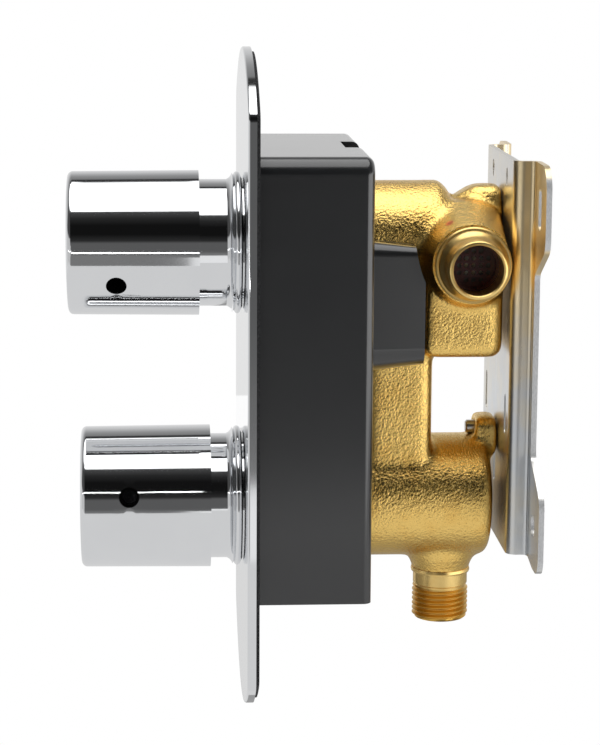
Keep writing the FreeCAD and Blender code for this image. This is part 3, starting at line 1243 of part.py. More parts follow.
def build():
    fill_sheet()
    wall_bracket()
    bracket_screws()
    valve_body()
    plaster_guard()
    faceplate()
    faceplate_seal()
    sides = (("thermostat", "high_z", "upper_knob_gap", "upper_knob_turn"),
             ("flow", "low_z", "lower_knob_gap", "lower_knob_turn"))
    for name, height, gap, turn in sides:
        shroud(name + "_shroud", height, gap)
        gland_nut(name + "_gland_nut", height)
        knob(name + "_knob", height, gap, turn)
        insert = knob_insert(name + "_knob_insert", height, gap, turn)
        if name == "thermostat":
            stop_carrier(insert, gap)
        grub_screw(name + "_grub_screw", height, gap, turn)
    seals("shroud_o_rings", [(name, ("0", "flange_y - gland_length / 2", height),
                              "gland_diameter - seal_ring + seal_fit_gap * 2") for name, height, _, _ in sides])
    seals("spindle_o_rings", [(name, ("0", "neck_y + seal_ring * 0.6", height),
                               "spindle_diameter + seal_ring + seal_fit_gap * 2")
                              for name, height, _, _ in sides])
    thermostat_housing()
    spring_retainer()
    stop_ring()
    wax_element()
    pusher()
    shuttle()
    spring_sleeve("thermostat_return_spring", ("0", "0", "high_z"), "Y",
                  "shuttle_y + shuttle_length + spring_end_gap",
                  "housing_end_y - retainer_length - spring_end_gap", "return_spring", "spring_wire")
    collar = "chamber_y + spindle_fit"
    spindle("thermostat_spindle", "high_z", "upper_knob_gap", "upper_knob_turn", [
        (collar, "spindle_r"), (collar, "spindle_collar / 2"),
        (f"{collar} + spindle_collar_length", "spindle_collar / 2"),
        (f"{collar} + spindle_collar_length", "spindle_screw / 2"),
        (f"{collar} + spindle_collar_length + spindle_screw_length", "spindle_screw / 2"),
        (f"{collar} + spindle_collar_length + spindle_screw_length", "0")])
    seals("thermostat_cartridge_seals", [
        (f"ring_{index}", ("0", place, "high_z"), "upper_bore - seal_ring - seal_fit_gap * 2")
        for index, place in enumerate(HOUSING_SEALS)])
    headwork()
    driver, collar = "moving_disc_y - spindle_fit", "headwork_chamber_y + spindle_fit"
    spindle("flow_spindle", "low_z", "lower_knob_gap", "lower_knob_turn", [
        (collar, "spindle_r"), (collar, "spindle_collar / 2"),
        (f"{collar} + spindle_collar_length", "spindle_collar / 2"),
        (f"{collar} + spindle_collar_length", "spindle_r"),
        (f"{driver} - driver_length + spindle_fit", "spindle_r"),
        (f"{driver} - driver_length + spindle_fit", "spindle_collar / 2"), (driver, "spindle_collar / 2"),
        (driver, "0")])
    seals("flow_headwork_seal", [("ring", ("0", "headwork_chamber_y - seal_ring * 2", "low_z"),
                                  "lower_bore - seal_ring - seal_fit_gap * 2")])
    ceramic_disc("fixed_ceramic_disc", "fixed_disc_y", "x")
    ceramic_disc("moving_ceramic_disc", "moving_disc_y", "z")
    lip_seal()
    check_valve("hot", "")
    check_valve("cold", "-")
    inlet_filters()


def check_and_write():
    doc.recompute()
    for item in doc.Objects:
        if "Invalid" in item.State or "Error" in item.State:
            raise RuntimeError(f"{item.Label} did not build: {item.State}")
    os.makedirs("parts", exist_ok=True)
    for part in parts:
        shape = part.Shape
        if shape.isNull() or not shape.isValid():
            raise RuntimeError(f"{part.Label} has no valid shape")
        shape.exportStep(f"parts/{part.Label}.step")
        box = shape.BoundBox
        print(f"{part.Label}: {len(shape.Solids)} solid, {shape.Volume:.0f} mm3, "
              f"y {box.YMin:.1f} to {box.YMax:.1f}, z {box.ZMin:.1f} to {box.ZMax:.1f}")


build()
check_and_write()
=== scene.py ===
import json
import math

import bmesh
import bpy
from mathutils import Matrix, Vector


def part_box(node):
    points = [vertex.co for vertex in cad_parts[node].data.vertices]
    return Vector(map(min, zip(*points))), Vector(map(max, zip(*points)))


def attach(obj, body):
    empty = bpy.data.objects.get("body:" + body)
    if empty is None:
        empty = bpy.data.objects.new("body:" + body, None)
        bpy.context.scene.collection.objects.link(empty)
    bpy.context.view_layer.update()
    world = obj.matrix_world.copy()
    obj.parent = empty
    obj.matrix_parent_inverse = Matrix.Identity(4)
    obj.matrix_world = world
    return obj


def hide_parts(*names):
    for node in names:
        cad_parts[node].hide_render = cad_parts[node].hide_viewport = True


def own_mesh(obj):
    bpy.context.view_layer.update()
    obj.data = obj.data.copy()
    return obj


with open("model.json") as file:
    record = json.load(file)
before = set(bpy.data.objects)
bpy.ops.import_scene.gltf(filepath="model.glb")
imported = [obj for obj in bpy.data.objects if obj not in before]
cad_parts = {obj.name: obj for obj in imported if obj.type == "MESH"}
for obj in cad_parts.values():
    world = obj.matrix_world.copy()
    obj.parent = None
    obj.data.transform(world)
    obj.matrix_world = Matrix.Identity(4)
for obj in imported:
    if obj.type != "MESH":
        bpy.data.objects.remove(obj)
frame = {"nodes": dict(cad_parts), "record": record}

# Concealed thermostatic shower valve, dressed. Pieces are modelled in millimetres and scaled to
# metres when they are finished. +Z is up, the wall is at +Y, and the camera looks from +X.
MM = 0.001
# Each axis, and the direction in which a profile's radius is drawn before it is spun.
AXES = {"X": (Vector((1, 0, 0)), Vector((0, 0, 1))), "Y": (Vector((0, 1, 0)), Vector((1, 0, 0))),
        "Z": (Vector((0, 0, 1)), Vector((1, 0, 0)))}
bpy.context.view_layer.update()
scene = bpy.context.scene

# Points on the axes of the two tubes, the inlets and the outlet.
UPPER_AXIS, LOWER_AXIS = Vector((0, 0, 96.5)), Vector((0, 0, 1.4))
INLET_AXIS, OUTLET_AXIS = Vector((0, -23.5, 92.6)), Vector((0, -29.3, 0))
# Where machining of the spigots and of the outlet starts.
INLET_ROOT, OUTLET_ROOT = 33.1, -26.9
PAINT_DAB = Vector((27.3, -31.5, 107.0))
# The knobs' pin holes: their span along Y, and the radius inside which they are painted near black as
# painted shade.
PIN_HOLES, PIN_HOLE_SHADE_RADIUS = (-156.0, -141.0), 25.2


# --- finishes ---------------------------------------------------------------------------------

class Field:
    """A socket whose value varies over a surface. Sums and products of fields are Math nodes."""

    def __init__(self, socket):
        self.socket = socket

    def math(self, operation, *inputs):
        node = self.socket.id_data.nodes.new("ShaderNodeMath")
        node.operation = operation
        for entry, value in zip(node.inputs, inputs):
            feed(entry, value)
        return Field(node.outputs[0])

    def __add__(self, other):
        return self.math("ADD", self, other)

    def __sub__(self, other):
        return self.math("SUBTRACT", self, other)

    def __rsub__(self, other):
        return self.math("SUBTRACT", other, self)

    def __mul__(self, other):
        return self.math("MULTIPLY", self, other)

    def __truediv__(self, other):
        return self.math("DIVIDE", self, other)

    def __pow__(self, other):
        return self.math("POWER", self, other)

    def clamped(self):
        return self.math("MINIMUM", self.math("MAXIMUM", self, 0.0), 1.0)

    def step(self, low, high):
        """0 below low, 1 above high, smooth in between."""
        t = ((self - low) / (high - low)).clamped()
        return t * t * (3.0 - t * 2.0)

    def within(self, low, high, fade):
        """1 from low to high, fading to 0 on both sides."""
        return self.step(low - fade, low) * self.step(high + fade, high)

    __radd__ = __add__
    __rmul__ = __mul__


def feed(entry, value):
    """Links a field to a socket, or sets the socket to a plain value."""
    if isinstance(value, Field):
        entry.id_data.links.new(value.socket, entry)
    else:
        entry.default_value = value


class Tree:
    """A node tree under way."""

    def __init__(self, owner):
        owner.use_nodes = True
        self.tree = owner.node_tree

    def node(self, kind, settings=None, sockets=None, out=0):
        node = self.tree.nodes.new(kind)
        for name, value in (settings or {}).items():
            if name == "stops":
                self.fill_ramp(node.color_ramp, value)
            else:
                setattr(node, name, value)
        for name, value in (sockets or {}).items():
            feed(node.inputs[name], value)
        return Field(node.outputs[out])

    def fill_ramp(self, ramp, stops):
        """Sets a ramp's elements from (position, colour or grey level) pairs."""
        while len(ramp.elements) < len(stops):
            ramp.elements.new(1.0)
        for element, (position, colour) in zip(ramp.elements, stops):
            element.position = position
            element.color = (*colour, 1.0) if isinstance(colour, tuple) else (colour, colour, colour, 1.0)

    def ramp(self, value, stops):
        return self.node("ShaderNodeValToRGB", {"stops": stops}, {"Fac": value})

    def mix(self, amount, first, second):
        """The first colour where amount is 0 and the second where it is 1."""
        return self.node("ShaderNodeMix", {"data_type": "RGBA"},
                         {0: amount, 6: first, 7: second}, out=2)

    def split(self, vector):
        """A vector's three parts."""
        return [self.node("ShaderNodeSeparateXYZ", None, {"Vector": vector}, out=i) for i in range(3)]


class Finish(Tree):
    """A material for one of the valve's surfaces, laid out in the object's own metres."""

    def __init__(self, name):
        self.material = bpy.data.materials.new(name)
        super().__init__(self.material)
        self.shader = self.tree.nodes["Principled BSDF"]
        self.place = self.node("ShaderNodeTexCoord", out="Object")

    def millimetres(self):
        """The surface's place, as x, y and z in the valve's millimetres."""
        return [axis / MM for axis in self.split(self.place)]

    def noise(self, size_mm, detail=3.0, roughness=0.55, stretch=None):
        """Clouds about size_mm across; stretch draws them out along the axes."""
        where = self.place
        if stretch:
            where = self.node("ShaderNodeMapping", None, {"Vector": where, "Scale": stretch})
        return self.node("ShaderNodeTexNoise", None, {
            "Vector": where, "Scale": 1 / (size_mm * MM), "Detail": detail, "Roughness": roughness})

    def grains(self, size_mm):
        """Rounded cells about size_mm across."""
        return self.node("ShaderNodeTexVoronoi", None, {
            "Vector": self.place, "Scale": 1 / (size_mm * MM)})

    def bump(self, height, depth_mm, strength=1.0):
        return self.node("ShaderNodeBump", None, {
            "Height": height, "Distance": depth_mm * MM, "Strength": strength})

    def surface(self, **sockets):
        """Feeds the shader's sockets, named as in base_color, and returns the finished material."""
        for name, value in sockets.items():
            feed(self.shader.inputs[name.replace("_", " ").title().replace("Ior", "IOR")], value)
        return self.material


def grey(level):
    """An opaque grey."""
    return (level, level, level, 1.0)


def chrome():
    """Plated mirror: wiping marks and a breath of haze vary the gloss. The pin holes are painted near black
    and rougher, as painted shade.
    """
    f = Finish("chrome")
    haze = f.noise(22, 3)
    wiped = f.noise(1.5, 4, stretch=(1.0, 0.12, 1.0))
    x, y, z = f.millimetres()
    halfway = (LOWER_AXIS.z + UPPER_AXIS.z) / 2
    above_axis = z - LOWER_AXIS.z - z.step(halfway - 1, halfway + 1) * (UPPER_AXIS.z - LOWER_AXIS.z)
    radius = (x ** 2.0 + above_axis ** 2.0) ** 0.5
    # Painted shade: inside the pin holes the chrome is coloured near black.
    pin_hole_shade = (1.0 - radius.step(PIN_HOLE_SHADE_RADIUS, PIN_HOLE_SHADE_RADIUS + 0.5)) * y.within(*PIN_HOLES, 2.0)
    colour = f.mix(haze, (0.80, 0.81, 0.83, 1), (0.86, 0.87, 0.88, 1))
    return f.surface(base_color=f.mix(pin_hole_shade, colour, (0.02, 0.02, 0.02, 1)), metallic=1.0,
                     roughness=0.035 + haze * 0.03 + wiped * 0.02 + pin_hole_shade * 0.4)


def cast_brass():
    """Sand cast skin: finely pebbled, with random tarnish, and painted shade, darker and deeper orange, in
    the low spots of its grain.
    """
    f = Finish("cast_brass")
    sand = f.noise(0.75, 3, 0.62)
    pebbles = f.grains(1.15)
    rolls = f.noise(5, 2)
    skin = sand * 0.9 + pebbles * 0.5 + rolls * 0.7
    tarnish = f.noise(11, 4, 0.6).step(0.45, 0.7)
    # Painted shade: the grain's low spots are darkened towards a deep orange-brown.
    hollow_shade = sand.step(0.46, 0.32)
    gold = f.mix(tarnish * 0.40, (1.0, 0.68, 0.21, 1), (0.87, 0.50, 0.11, 1))
    gold_and_hollow_shade = f.mix(hollow_shade * 0.4, gold, (0.58, 0.30, 0.05, 1))
    return f.surface(base_color=f.mix(paint_dab(f), gold_and_hollow_shade, (0.80, 0.10, 0.08, 1)), metallic=1.0,
                     roughness=0.13 + sand * 0.16, normal=f.bump(skin, 0.24, 1.0))


def paint_dab(f):
    """The foundry's small red dab that marks the hot side."""
    x, y, z = (axis - middle for axis, middle in zip(f.millimetres(), PAINT_DAB))
    ragged = (x ** 2.0 + y ** 2.0 + z ** 2.0) ** 0.5 + f.noise(2, 3) * 1.6
    return (1.0 - ragged.step(1.6, 3.0)) * 0.7


def turned_brass():
    """Turned brass with fine tool lines and random stains, and painted shade, darker and more orange, on the
    outlet's thread.
    """
    f = Finish("turned_brass")
    lines = f.noise(0.5, 3, stretch=(6.0, 1.0, 1.0))
    stain = f.noise(6, 3).step(0.4, 0.7)
    # Painted shade: the thread at the bottom of the outlet is darkened towards a deep orange.
    thread_shade = f.millimetres()[2].step(-32.5, -36.0) * 0.8
    unshaded_brass = f.mix(stain * 0.5, (0.95, 0.68, 0.26, 1), (0.80, 0.50, 0.15, 1))
    return f.surface(base_color=f.mix(thread_shade, unshaded_brass, (0.72, 0.40, 0.06, 1)), metallic=1.0,
                     roughness=0.25 + lines * 0.12 + thread_shade * 0.02, normal=f.bump(lines, 0.02, 0.4))


def zinc_plate():
    """Satin zinc with a blue cast, faint rolling lines, torn, duller sheared edges, and a painted reflection
    of the brass: a warm gold tint higher up, strongest on the bent-out ears.
    """
    f = Finish("zinc_plate")
    cloud = f.noise(14, 3)
    rolled = f.noise(0.9, 3, stretch=(1.0, 1.0, 0.04))
    speck = f.noise(0.5, 2).step(0.62, 0.72)
    x, y, z = f.millimetres()
    sideways = f.split(f.node("ShaderNodeNewGeometry", out="Normal"))[0]
    sheared = y.step(-2.3, -1.9) * (sideways ** 2.0).step(0.5, 0.8)
    torn = f.noise(0.7, 3, stretch=(1.0, 4.0, 0.6))
    bent_out = (x ** 2.0).step(30.0 ** 2, 34.0 ** 2)
    # Painted reflection of the brass: a warm gold tint above about 55 mm, strongest on the bent-out ears.
    brass_reflection = (z + cloud * 40.0).step(55.0, 110.0) * (0.15 + bent_out * 0.65)
    colour = f.mix(brass_reflection, f.mix(cloud.step(0.35, 0.7), (0.72, 0.74, 0.76, 1), (0.80, 0.77, 0.70, 1)),
                   (0.98, 0.76, 0.40, 1))
    edge = f.mix(torn, (0.98, 0.98, 0.98, 1), (0.42, 0.43, 0.44, 1))
    return f.surface(base_color=f.mix(sheared, colour, edge), metallic=1.0,
                     roughness=0.24 + rolled * 0.12 + speck * 0.08 + sheared * 0.30,
                     normal=f.bump(rolled + torn * sheared * 4.0, 0.012, 0.3))


def guard_plastic():
    """Dark grey moulding with a polished tool's gloss, and faint flow and wiping marks."""
    f = Finish("guard_plastic")
    grain = f.noise(0.5, 2)
    flow = f.noise(26, 3)
    wiped = f.noise(3, 4, stretch=(1.0, 0.15, 1.0))
    colour = f.mix(flow, (0.010, 0.010, 0.012, 1), (0.016, 0.017, 0.018, 1))
    return f.surface(base_color=colour, roughness=0.26 + wiped * 0.10, coat_weight=1.0, coat_roughness=0.14,
                     normal=f.bump(grain, 0.006, 0.3))


def foam():
    """Black closed cells."""
    f = Finish("foam")
    cells = f.grains(0.8)
    colour = f.mix(cells, (0.010, 0.010, 0.011, 1), (0.035, 0.035, 0.037, 1))
    return f.surface(base_color=colour, roughness=0.9, normal=f.bump(cells, 0.2, 0.8))


def rubber():
    """Black rubber with a faint bloom."""
    f = Finish("rubber")
    bloom = f.noise(4, 4)
    colour = f.mix(bloom, (0.016, 0.016, 0.017, 1), (0.034, 0.034, 0.036, 1))
    return f.surface(base_color=colour, roughness=0.42 + bloom * 0.2, normal=f.bump(bloom, 0.02, 0.4))


def moulded(name, light, dark, gloss):
    """Engineering plastic with flow clouds and a fine grain."""
    f = Finish(name)
    flow = f.noise(8, 3)
    grain = f.noise(0.35, 2)
    return f.surface(base_color=f.mix(flow, (*light, 1), (*dark, 1)), roughness=gloss + grain * 0.12,
                     normal=f.bump(grain, 0.02, 0.4))


def lapped_ceramic():
    """White ceramic, lapped flat, with small dull specks."""
    f = Finish("lapped_ceramic")
    speck = f.noise(0.6, 4, 0.7).step(0.62, 0.7)
    colour = f.mix(speck * 0.4, (0.90, 0.89, 0.86, 1), (0.66, 0.64, 0.60, 1))
    return f.surface(base_color=colour, roughness=0.12 + speck * 0.2)


def wire_steel():
    """Bright drawn wire with faint lines."""
    f = Finish("wire_steel")
    drawn = f.noise(0.3, 4, stretch=(1, 0.2, 1))
    colour = f.mix(drawn, (0.58, 0.59, 0.61, 1), (0.72, 0.73, 0.75, 1))
    return f.surface(base_color=colour, metallic=1.0, roughness=0.24 + drawn * 0.12)


def drawn_copper():
    """Drawn copper, lightly stained."""
    f = Finish("drawn_copper")
    stain = f.noise(3, 4).step(0.4, 0.7)
    colour = f.mix(stain, (0.86, 0.50, 0.34, 1), (0.60, 0.32, 0.20, 1))
    return f.surface(base_color=colour, metallic=1.0, roughness=0.2 + stain * 0.18)


def black_oxide():
    """Blackened steel, worn paler in places."""
    f = Finish("black_oxide")
    worn = f.noise(1.2, 4).step(0.55, 0.75)
    colour = f.mix(worn, (0.03, 0.03, 0.034, 1), (0.12, 0.12, 0.13, 1))
    return f.surface(base_color=colour, metallic=0.7, roughness=0.38 - worn * 0.1)


# A finish for each of the record's material slots.
FINISHES = {
    "chrome": chrome(),
    "cast_brass": cast_brass(),
    "machined_brass": turned_brass(),
    "zinc_steel": zinc_plate(),
    "guard_plastic": guard_plastic(),
    "black_foam": foam(),
    "black_rubber": rubber(),
    "white_plastic": moulded("white_plastic", (0.86, 0.86, 0.83), (0.76, 0.76, 0.72), 0.38),
    "red_plastic": moulded("red_plastic", (0.62, 0.05, 0.035), (0.48, 0.03, 0.02), 0.28),
    "filter_plastic": moulded("filter_plastic", (0.060, 0.010, 0.008), (0.030, 0.006, 0.005), 0.2),
    "grey_plastic": moulded("grey_plastic", (0.034, 0.035, 0.037), (0.020, 0.021, 0.022), 0.4),
    "ceramic": lapped_ceramic(),
    "spring_steel": wire_steel(),
    "copper": drawn_copper(),
    "black_steel": black_oxide(),
}


# --- shaping ----------------------------------------------------------------------------------

def finished(name, shape, body, slot, stands_for=(), crease=32):
    """Makes a piece of a shape in millimetres: closed, facing outwards and riding on its body."""
    bmesh.ops.remove_doubles(shape, verts=shape.verts, dist=0.002)
    bmesh.ops.recalc_face_normals(shape, faces=shape.faces)
    bmesh.ops.scale(shape, vec=(MM, MM, MM), verts=shape.verts)
    mesh = bpy.data.meshes.new(name)
    shape.to_mesh(mesh)
    shape.free()
    mesh.shade_smooth()
    mesh.set_sharp_from_angle(angle=math.radians(crease))
    mesh.materials.append(FINISHES[slot])
    piece = bpy.data.objects.new(name, mesh)
    scene.collection.objects.link(piece)
    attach(piece, body)
    if stands_for:
        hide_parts(*stands_for)
    return piece


def lathe(shape, profile, axis, at, steps=144):
    """Spins (along, radius) points about an axis. The profile is closed unless it starts on it."""
    along, out = AXES[axis]
    points = [shape.verts.new(at + along * place + out * radius) for place, radius in profile]
    pairs = list(zip(points, points[1:]))
    if profile[0][1] > 0:
        pairs.append((points[-1], points[0]))
    wire = [shape.edges.new(pair) for pair in pairs]
    bmesh.ops.spin(shape, geom=points + wire, cent=at, axis=along, dvec=(0, 0, 0),
                   angle=2 * math.pi, steps=steps, use_merge=True, use_duplicate=False)
    bmesh.ops.remove_doubles(shape, verts=shape.verts, dist=0.002)


def rim_loop(shape, axis, place):
    """The open edges that a cut has left at one place along an axis."""
    index = "XYZ".index(axis)
    return [e for e in shape.edges if e.is_boundary
            and all(abs(v.co[index] - place) < 0.01 for v in e.verts)]


def altered(node, kind, **settings):
    """A CAD node's shape in millimetres, its triangles joined up and one modifier applied."""
    shape = bmesh.new()
    shape.from_mesh(frame["nodes"][node].data)
    bmesh.ops.remove_doubles(shape, verts=shape.verts, dist=1e-6)
    mesh = bpy.data.meshes.new(node + "_blank")
    shape.to_mesh(mesh)
    shape.free()
    blank = bpy.data.objects.new(node + "_blank", mesh)
    scene.collection.objects.link(blank)
    change = blank.modifiers.new("change", kind)
    for name, value in settings.items():
        setattr(change, name, value)
    shape = bmesh.new()
    shape.from_mesh(blank.evaluated_get(bpy.context.evaluated_depsgraph_get()).to_mesh())
    bpy.data.objects.remove(blank)
    bmesh.ops.scale(shape, vec=(1 / MM,) * 3, verts=shape.verts)
    return shape


# --- plaster guard ----------------------------------------------------------------------------

# Faces this near to an axis are walls, drafted by 7 degrees or not, and are shaded flat.
WALL_SLOPE = math.cos(math.radians(7.4))
NOTCH_LOW, NOTCH_HIGH = Vector((-12.5, -67.6, 121.4)), Vector((12.5, -59.0, 134.0))


def guard():
    """The guard's moulding, with the notch in its top rear edge."""
    block = bmesh.new()
    bmesh.ops.create_cube(block, size=1.0)
    bmesh.ops.scale(block, vec=(NOTCH_HIGH - NOTCH_LOW) * MM, verts=block.verts)
    bmesh.ops.translate(block, vec=(NOTCH_HIGH + NOTCH_LOW) / 2 * MM, verts=block.verts)
    mesh = bpy.data.meshes.new("notch")
    block.to_mesh(mesh)
    block.free()
    cutter = bpy.data.objects.new("notch", mesh)
    scene.collection.objects.link(cutter)
    shape = altered("plaster_guard", "BOOLEAN", operation="DIFFERENCE", object=cutter, solver="EXACT")
    bpy.data.objects.remove(cutter)
    tray = finished("guard", shape, "valve", "guard_plastic", ["plaster_guard"])
    for face in tray.data.polygons:
        face.use_smooth = max(abs(part) for part in face.normal) < WALL_SLOPE


# --- brass casting ----------------------------------------------------------------------------

# The skin's grain in millimetres, and how often its corners are smoothed.
CAST_GRID, CAST_SOFTENING = 1.15, 9


def casting():
    """The cast skin: the solid's shape with soft corners, cut off flat where machining starts."""
    shape = altered("valve_body", "REMESH", mode="VOXEL", voxel_size=CAST_GRID * MM)
    outside = [v for v in shape.verts if not in_a_bore(v.co)]
    for _ in range(CAST_SOFTENING):
        bmesh.ops.smooth_vert(shape, verts=outside, factor=0.5, use_axis_x=True, use_axis_y=True,
                              use_axis_z=True)
    for axis, place, side in (("X", INLET_ROOT, 1), ("X", -INLET_ROOT, -1), ("Z", OUTLET_ROOT, -1)):
        along = AXES[axis][0]
        bmesh.ops.bisect_plane(shape, geom=shape.verts[:] + shape.edges[:] + shape.faces[:], dist=0.0001,
                               plane_co=along * place, plane_no=along * side, clear_outer=True)
        bmesh.ops.bridge_loops(shape, edges=rim_loop(shape, axis, place))
    finished("casting", shape, "valve", "cast_brass", ["valve_body"], crease=60)


def in_a_bore(place):
    """Whether a point lies on a machined bore, or just round it, or on the tubes' front faces."""
    def near(axis_point, across, radius):
        away = place - axis_point
        return math.hypot(*(away[i] for i in across)) < radius
    tubes_front, inlets_start = -91, 11
    return (place.y < tubes_front or near(UPPER_AXIS, (0, 2), 15.5) or near(LOWER_AXIS, (0, 2), 13.5)
            or (near(INLET_AXIS, (1, 2), 10) and abs(place.x) > inlets_start)
            or near(OUTLET_AXIS, (0, 1), 8.8))


def spigots():
    """The turned ends of both inlets: a shoulder ring, a swept neck, a fine groove and a rounded lip."""
    bore, pipe, neck, ring = 8.9, 10.5, 12.6, 13.7
    shoulder = [(32.6, bore), (32.6, 13.3), (33.3, ring), (35.7, ring), (36.1, 13.3), (36.1, neck)]
    sweep = [(37.2 + 4.4 * t, neck - (neck - pipe) * math.sin(t * math.pi / 2))
             for t in (0, 0.15, 0.3, 0.45, 0.6, 0.8, 1)]
    groove = [(43.9, pipe), (44.1, 10.35), (44.4, 10.35), (44.6, pipe)]
    lip = [(48.8, pipe), (49.35, 10.2), (49.6, 9.8), (49.6, 9.3), (49.2, bore)]
    for name, turn in (("hot_spigot", 0), ("cold_spigot", math.pi)):
        shape = bmesh.new()
        lathe(shape, shoulder + sweep + groove + lip, "X", INLET_AXIS)
        bmesh.ops.rotate(shape, verts=shape.verts, cent=INLET_AXIS, matrix=Matrix.Rotation(turn, 3, "Z"))
        finished(name, shape, "valve", "machined_brass", crease=40)


def thread(shape, axis, at, start, end, crest, root, pitch, steps):
    """A helical band of blunt V threads, cut off flat at both ends and left open there."""
    along, out = AXES[axis]
    flat = 0.06
    tooth = [(0, root), (pitch * flat, root), (pitch * (0.5 - flat), crest), (pitch * (0.5 + flat), crest),
             (pitch * (1 - flat), root), (pitch, root)]
    turns = math.ceil((end - start) / pitch) + 2
    first = start - 1.5 * pitch
    points = [shape.verts.new(at + along * (first + place) + out * radius) for place, radius in tooth]
    wire = [shape.edges.new(pair) for pair in zip(points, points[1:])]
    bmesh.ops.spin(shape, geom=points + wire, cent=at, axis=along, dvec=along * pitch / steps,
                   angle=2 * math.pi * turns, steps=steps * turns, use_merge=False, use_duplicate=False)
    bmesh.ops.remove_doubles(shape, verts=shape.verts, dist=0.01)
    for place, side in ((start, -1), (end, 1)):
        bmesh.ops.bisect_plane(shape, geom=shape.verts[:] + shape.edges[:] + shape.faces[:], dist=0.0001,
                               plane_co=at + along * place, plane_no=along * side, clear_outer=True)


def outlet_nipple():
    """The turned outlet: a relief under the flare, then a pipe thread with a chamfered end."""
    shape = bmesh.new()
    end, top, bore_radius, steps = -46.1, -34.1, 8.0, 96
    thread(shape, "Z", OUTLET_AXIS, end, top, crest=10.4775, root=9.3155, pitch=1.814, steps=steps)
    chamfer_radius, chamfer_slope = 9.4, 1.2
    for v in shape.verts:
        away = Vector((v.co.x, v.co.y, 0)) - OUTLET_AXIS
        allowed = chamfer_radius + (v.co.z - end) * chamfer_slope
        if away.length > allowed:
            v.co = OUTLET_AXIS + away * (allowed / away.length) + Vector((0, 0, v.co.z))
    bore = {}
    for place in (end, top):
        ring = bmesh.ops.create_circle(shape, segments=steps, radius=bore_radius, cap_ends=False,
                                       matrix=Matrix.Translation(OUTLET_AXIS + Vector((0, 0, place))))
        bore[place] = list({e for v in ring["verts"] for e in v.link_edges})
        bmesh.ops.bridge_loops(shape, edges=rim_loop(shape, "Z", place) + bore[place])
    bmesh.ops.bridge_loops(shape, edges=bore[end] + bore[top])
    relief, collar = 9.5, 10.2
    lathe(shape, [(top - 0.2, bore_radius), (top - 0.2, relief), (top + 0.9, relief), (top + 1.4, collar),
                  (-28.4, collar), (-28.2, 10.9), (-27.6, 11.1), (-26.6, 10.9), (-26.6, bore_radius)],
          "Z", OUTLET_AXIS)
    finished("outlet_nipple", shape, "valve", "machined_brass", crease=28)


# --- springs ----------------------------------------------------------------------------------

# Each sleeve's new name, axis, joint, travel, seated end and wire.
COILS = {"thermostat_return_spring": ("return_coil", "Y", "mixing_slide", 2.0, -53.1, 1.4),
         "hot_check_spring": ("hot_coil", "X", "hot_poppet_slide", 2.5, 23.7, 0.8),
         "cold_check_spring": ("cold_coil", "X", "cold_poppet_slide", 2.5, -23.7, 0.8)}
COIL_TURNS, COIL_STEPS = 5, 48


def coils():
    """Wound wire in place of the solids' sleeves."""
    for node, (name, axis, joint, travel, seat, wire) in COILS.items():
        low, high = (Vector(corner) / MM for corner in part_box(node))
        along, out = AXES[axis]
        span = (high - low).dot(along)
        radius = ((high - low).dot(out) - wire) / 2
        start = (low + high) / 2 - along * (span - wire) / 2
        facing = along.cross(out).to_track_quat("Z", "Y").to_matrix().to_4x4()
        steps = COIL_TURNS * COIL_STEPS
        shape = bmesh.new()
        ring = bmesh.ops.create_circle(shape, segments=10, radius=wire / 2, cap_ends=False,
                                       matrix=Matrix.Translation(start + out * radius) @ facing)["verts"]
        bmesh.ops.spin(shape, geom=ring + list({e for v in ring for e in v.link_edges}), cent=start,
                       axis=along, dvec=along * (span - wire) / steps, angle=2 * math.pi * COIL_TURNS,
                       steps=steps, use_merge=False, use_duplicate=False)
        bmesh.ops.holes_fill(shape, edges=[e for e in shape.edges if e.is_boundary], sides=0)
        coil = finished(name, shape, "valve", "spring_steel", [node], crease=50)
        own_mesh(coil)


# --- stage ------------------------------------------------------------------------------------

def camera():
    """The photograph's viewpoint: to the valve's side and a little above it, barely rolled."""
    data = bpy.data.cameras.new("camera")
    data.lens, data.sensor_width = 112.78, 36.0
    data.clip_start, data.clip_end = 0.05, 50.0
    ahead, roll = Vector((-0.9814, 0.0605, -0.1822)).normalized(), math.radians(0.31)
    right = ahead.cross(Vector((0, 0, 1))).normalized()
    up = right.cross(ahead)
    tilted = right * math.cos(roll) + up * math.sin(roll)
    turn = Matrix((tilted, ahead.cross(tilted) * -1, -ahead)).transposed()
    rig = bpy.data.objects.new("camera", data)
    rig.matrix_world = Matrix.Translation((0.8504, -0.1352, 0.2057)) @ turn.to_4x4()
    scene.collection.objects.link(rig)
    scene.camera = rig


# What the metal sees towards the camera and towards the wall: (degrees above the horizon, brightness).
GAP = [(-90, 0.30), (-33, 0.30), (-31, 0.09), (-14, 0.09), (-9, 0.05), (6, 0.05), (10, 0.012), (20, 0.003),
       (35, 0.003), (46, 0.010), (57.5, 0.03), (58.5, 1)]
WALL = [(-90, 0.38), (-10, 0.36), (0, 0.36), (23, 0.27), (40, 0.14), (50, 0.10), (52, 0.02), (57, 0.015),
        (59.5, 1)]


def side_sheet(foot, level):
    """What it sees to a side: the table, a pale sheet up to 10 degrees, a dark band and the ceiling."""
    return [(-90, 0.34), (-36, foot), (-28, level), (10, level), (15, 0.03), (50, 0.03), (57, 0.25), (60, 1)]


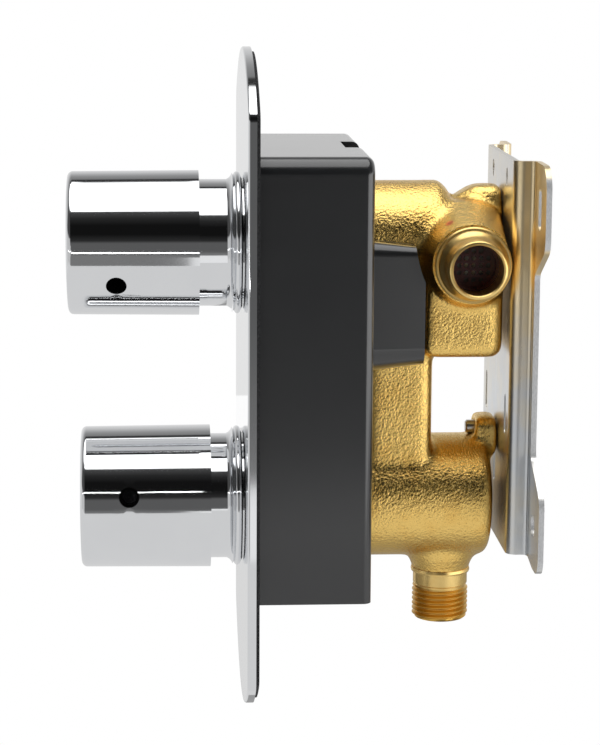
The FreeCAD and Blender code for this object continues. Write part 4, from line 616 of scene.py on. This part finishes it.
def studio():
    """White to the camera. The metal sees a white ceiling, a tall dark gap where the camera
    stands, pale sheets to its left and right, and a pale wall behind."""
    world = bpy.data.worlds.new("studio")
    scene.world = world
    t = Tree(world)
    t.tree.nodes.clear()
    x, y, z = t.split(t.node("ShaderNodeTexCoord", out="Generated"))
    height = z * 0.5 + 0.5
    gap, wall, left, right = (t.ramp(height, stops_at(levels)) for levels in (
        GAP, WALL, side_sheet(0.38, 0.26), side_sheet(0.45, 1.0)))
    near = t.mix(y.step(0.30, 0.55), t.mix(y.step(-0.25, -0.45), gap, left), right)
    light = t.mix(x.step(-0.25, 0.25), wall, near)
    seen = t.node("ShaderNodeLightPath", out="Is Camera Ray")
    room = t.node("ShaderNodeBackground", None, {"Color": light, "Strength": 2.2})
    backdrop = t.node("ShaderNodeBackground", None, {"Color": grey(1.0), "Strength": 1.0})
    both = t.node("ShaderNodeMixShader", None, {0: seen, 1: room, 2: backdrop})
    out = t.tree.nodes.new("ShaderNodeOutputWorld")
    feed(out.inputs["Surface"], both)


def stops_at(levels):
    """Ramp stops at heights above the horizon, in degrees."""
    return [(math.sin(math.radians(angle)) * 0.5 + 0.5, level) for angle, level in levels]


def glow(name, level):
    """A material that only shines."""
    material = bpy.data.materials.new(name)
    t = Tree(material)
    t.tree.nodes.clear()
    lit = t.node("ShaderNodeEmission", None, {"Color": grey(level), "Strength": 1.0})
    out = t.tree.nodes.new("ShaderNodeOutputMaterial")
    feed(out.inputs["Surface"], lit)
    return material


def flat_sheet(name, across, y, level, material, upright=False):
    """A flat rectangle at a height, or an upright one at a distance in front, facing the valve."""
    shape = bmesh.new()
    corners = ((across[0], y[0]), (across[1], y[0]), (across[1], y[1]), (across[0], y[1]))
    shape.faces.new([shape.verts.new((level, b, a) if upright else (a, b, level)) for a, b in corners])
    mesh = bpy.data.meshes.new(name)
    shape.to_mesh(mesh)
    shape.free()
    mesh.materials.append(material)
    sheet = bpy.data.objects.new(name, mesh)
    scene.collection.objects.link(sheet)
    return sheet


FLOOR_HEIGHT, TABLE_HEIGHT = -0.45, -0.078
# Cards that only reflections see, in metres: span in X or Z, span in Y, height or distance, brightness.
TABLE_CARDS = {"table": ((-0.5, 0.32), (-0.6, -0.105), TABLE_HEIGHT, 0.70),
               "table_edge": ((0.035, 0.32), (-0.105, 0.6), TABLE_HEIGHT, 0.70),
               "shaded_table": ((-0.5, 0.035), (-0.105, 0.6), TABLE_HEIGHT, 0.34)}
UPRIGHT_CARDS = {"low_card": ((-0.65, -0.25), (-0.13, 0.8), 1.2, 0.9),
                 "strip": ((0.0668, 0.0702), (-0.5, -0.12), 0.2, 5.0)}


def stage():
    """A pale floor well below the valve, and the cards that its metal and its guard reflect."""
    pale = bpy.data.materials.new("floor")
    t = Tree(pale)
    paper = t.tree.nodes["Principled BSDF"]
    paper.inputs["Base Color"].default_value = grey(0.9)
    paper.inputs["Roughness"].default_value = 0.9
    direct = sum(t.node("ShaderNodeLightPath", out=f"Is {ray} Ray")
                 for ray in ("Camera", "Glossy", "Transmission")).clamped()
    bright = t.node("ShaderNodeEmission", None, {"Color": grey(1.0), "Strength": 1.0})
    shown = t.node("ShaderNodeMixShader", None, {0: direct, 1: Field(paper.outputs[0]), 2: bright})
    feed(t.tree.nodes["Material Output"].inputs["Surface"], shown)
    flat_sheet("floor", (-2.5, 0.9), (-1.5, 1.5), FLOOR_HEIGHT, pale)
    for cards, upright in ((TABLE_CARDS, False), (UPRIGHT_CARDS, True)):
        for name, (across, y, level, brightness) in cards.items():
            card = flat_sheet(name, across, y, level, glow(name, brightness), upright)
            card.visible_camera = card.visible_diffuse = card.visible_shadow = False


for piece in frame["record"]["subparts"]:
    mesh = frame["nodes"][piece["node"]].data
    mesh.materials.clear()
    mesh.materials.append(FINISHES[piece["material_slot"]])

guard()
casting()
spigots()
outlet_nipple()
coils()
camera()
studio()
stage()

scene.view_settings.view_transform = "Standard"
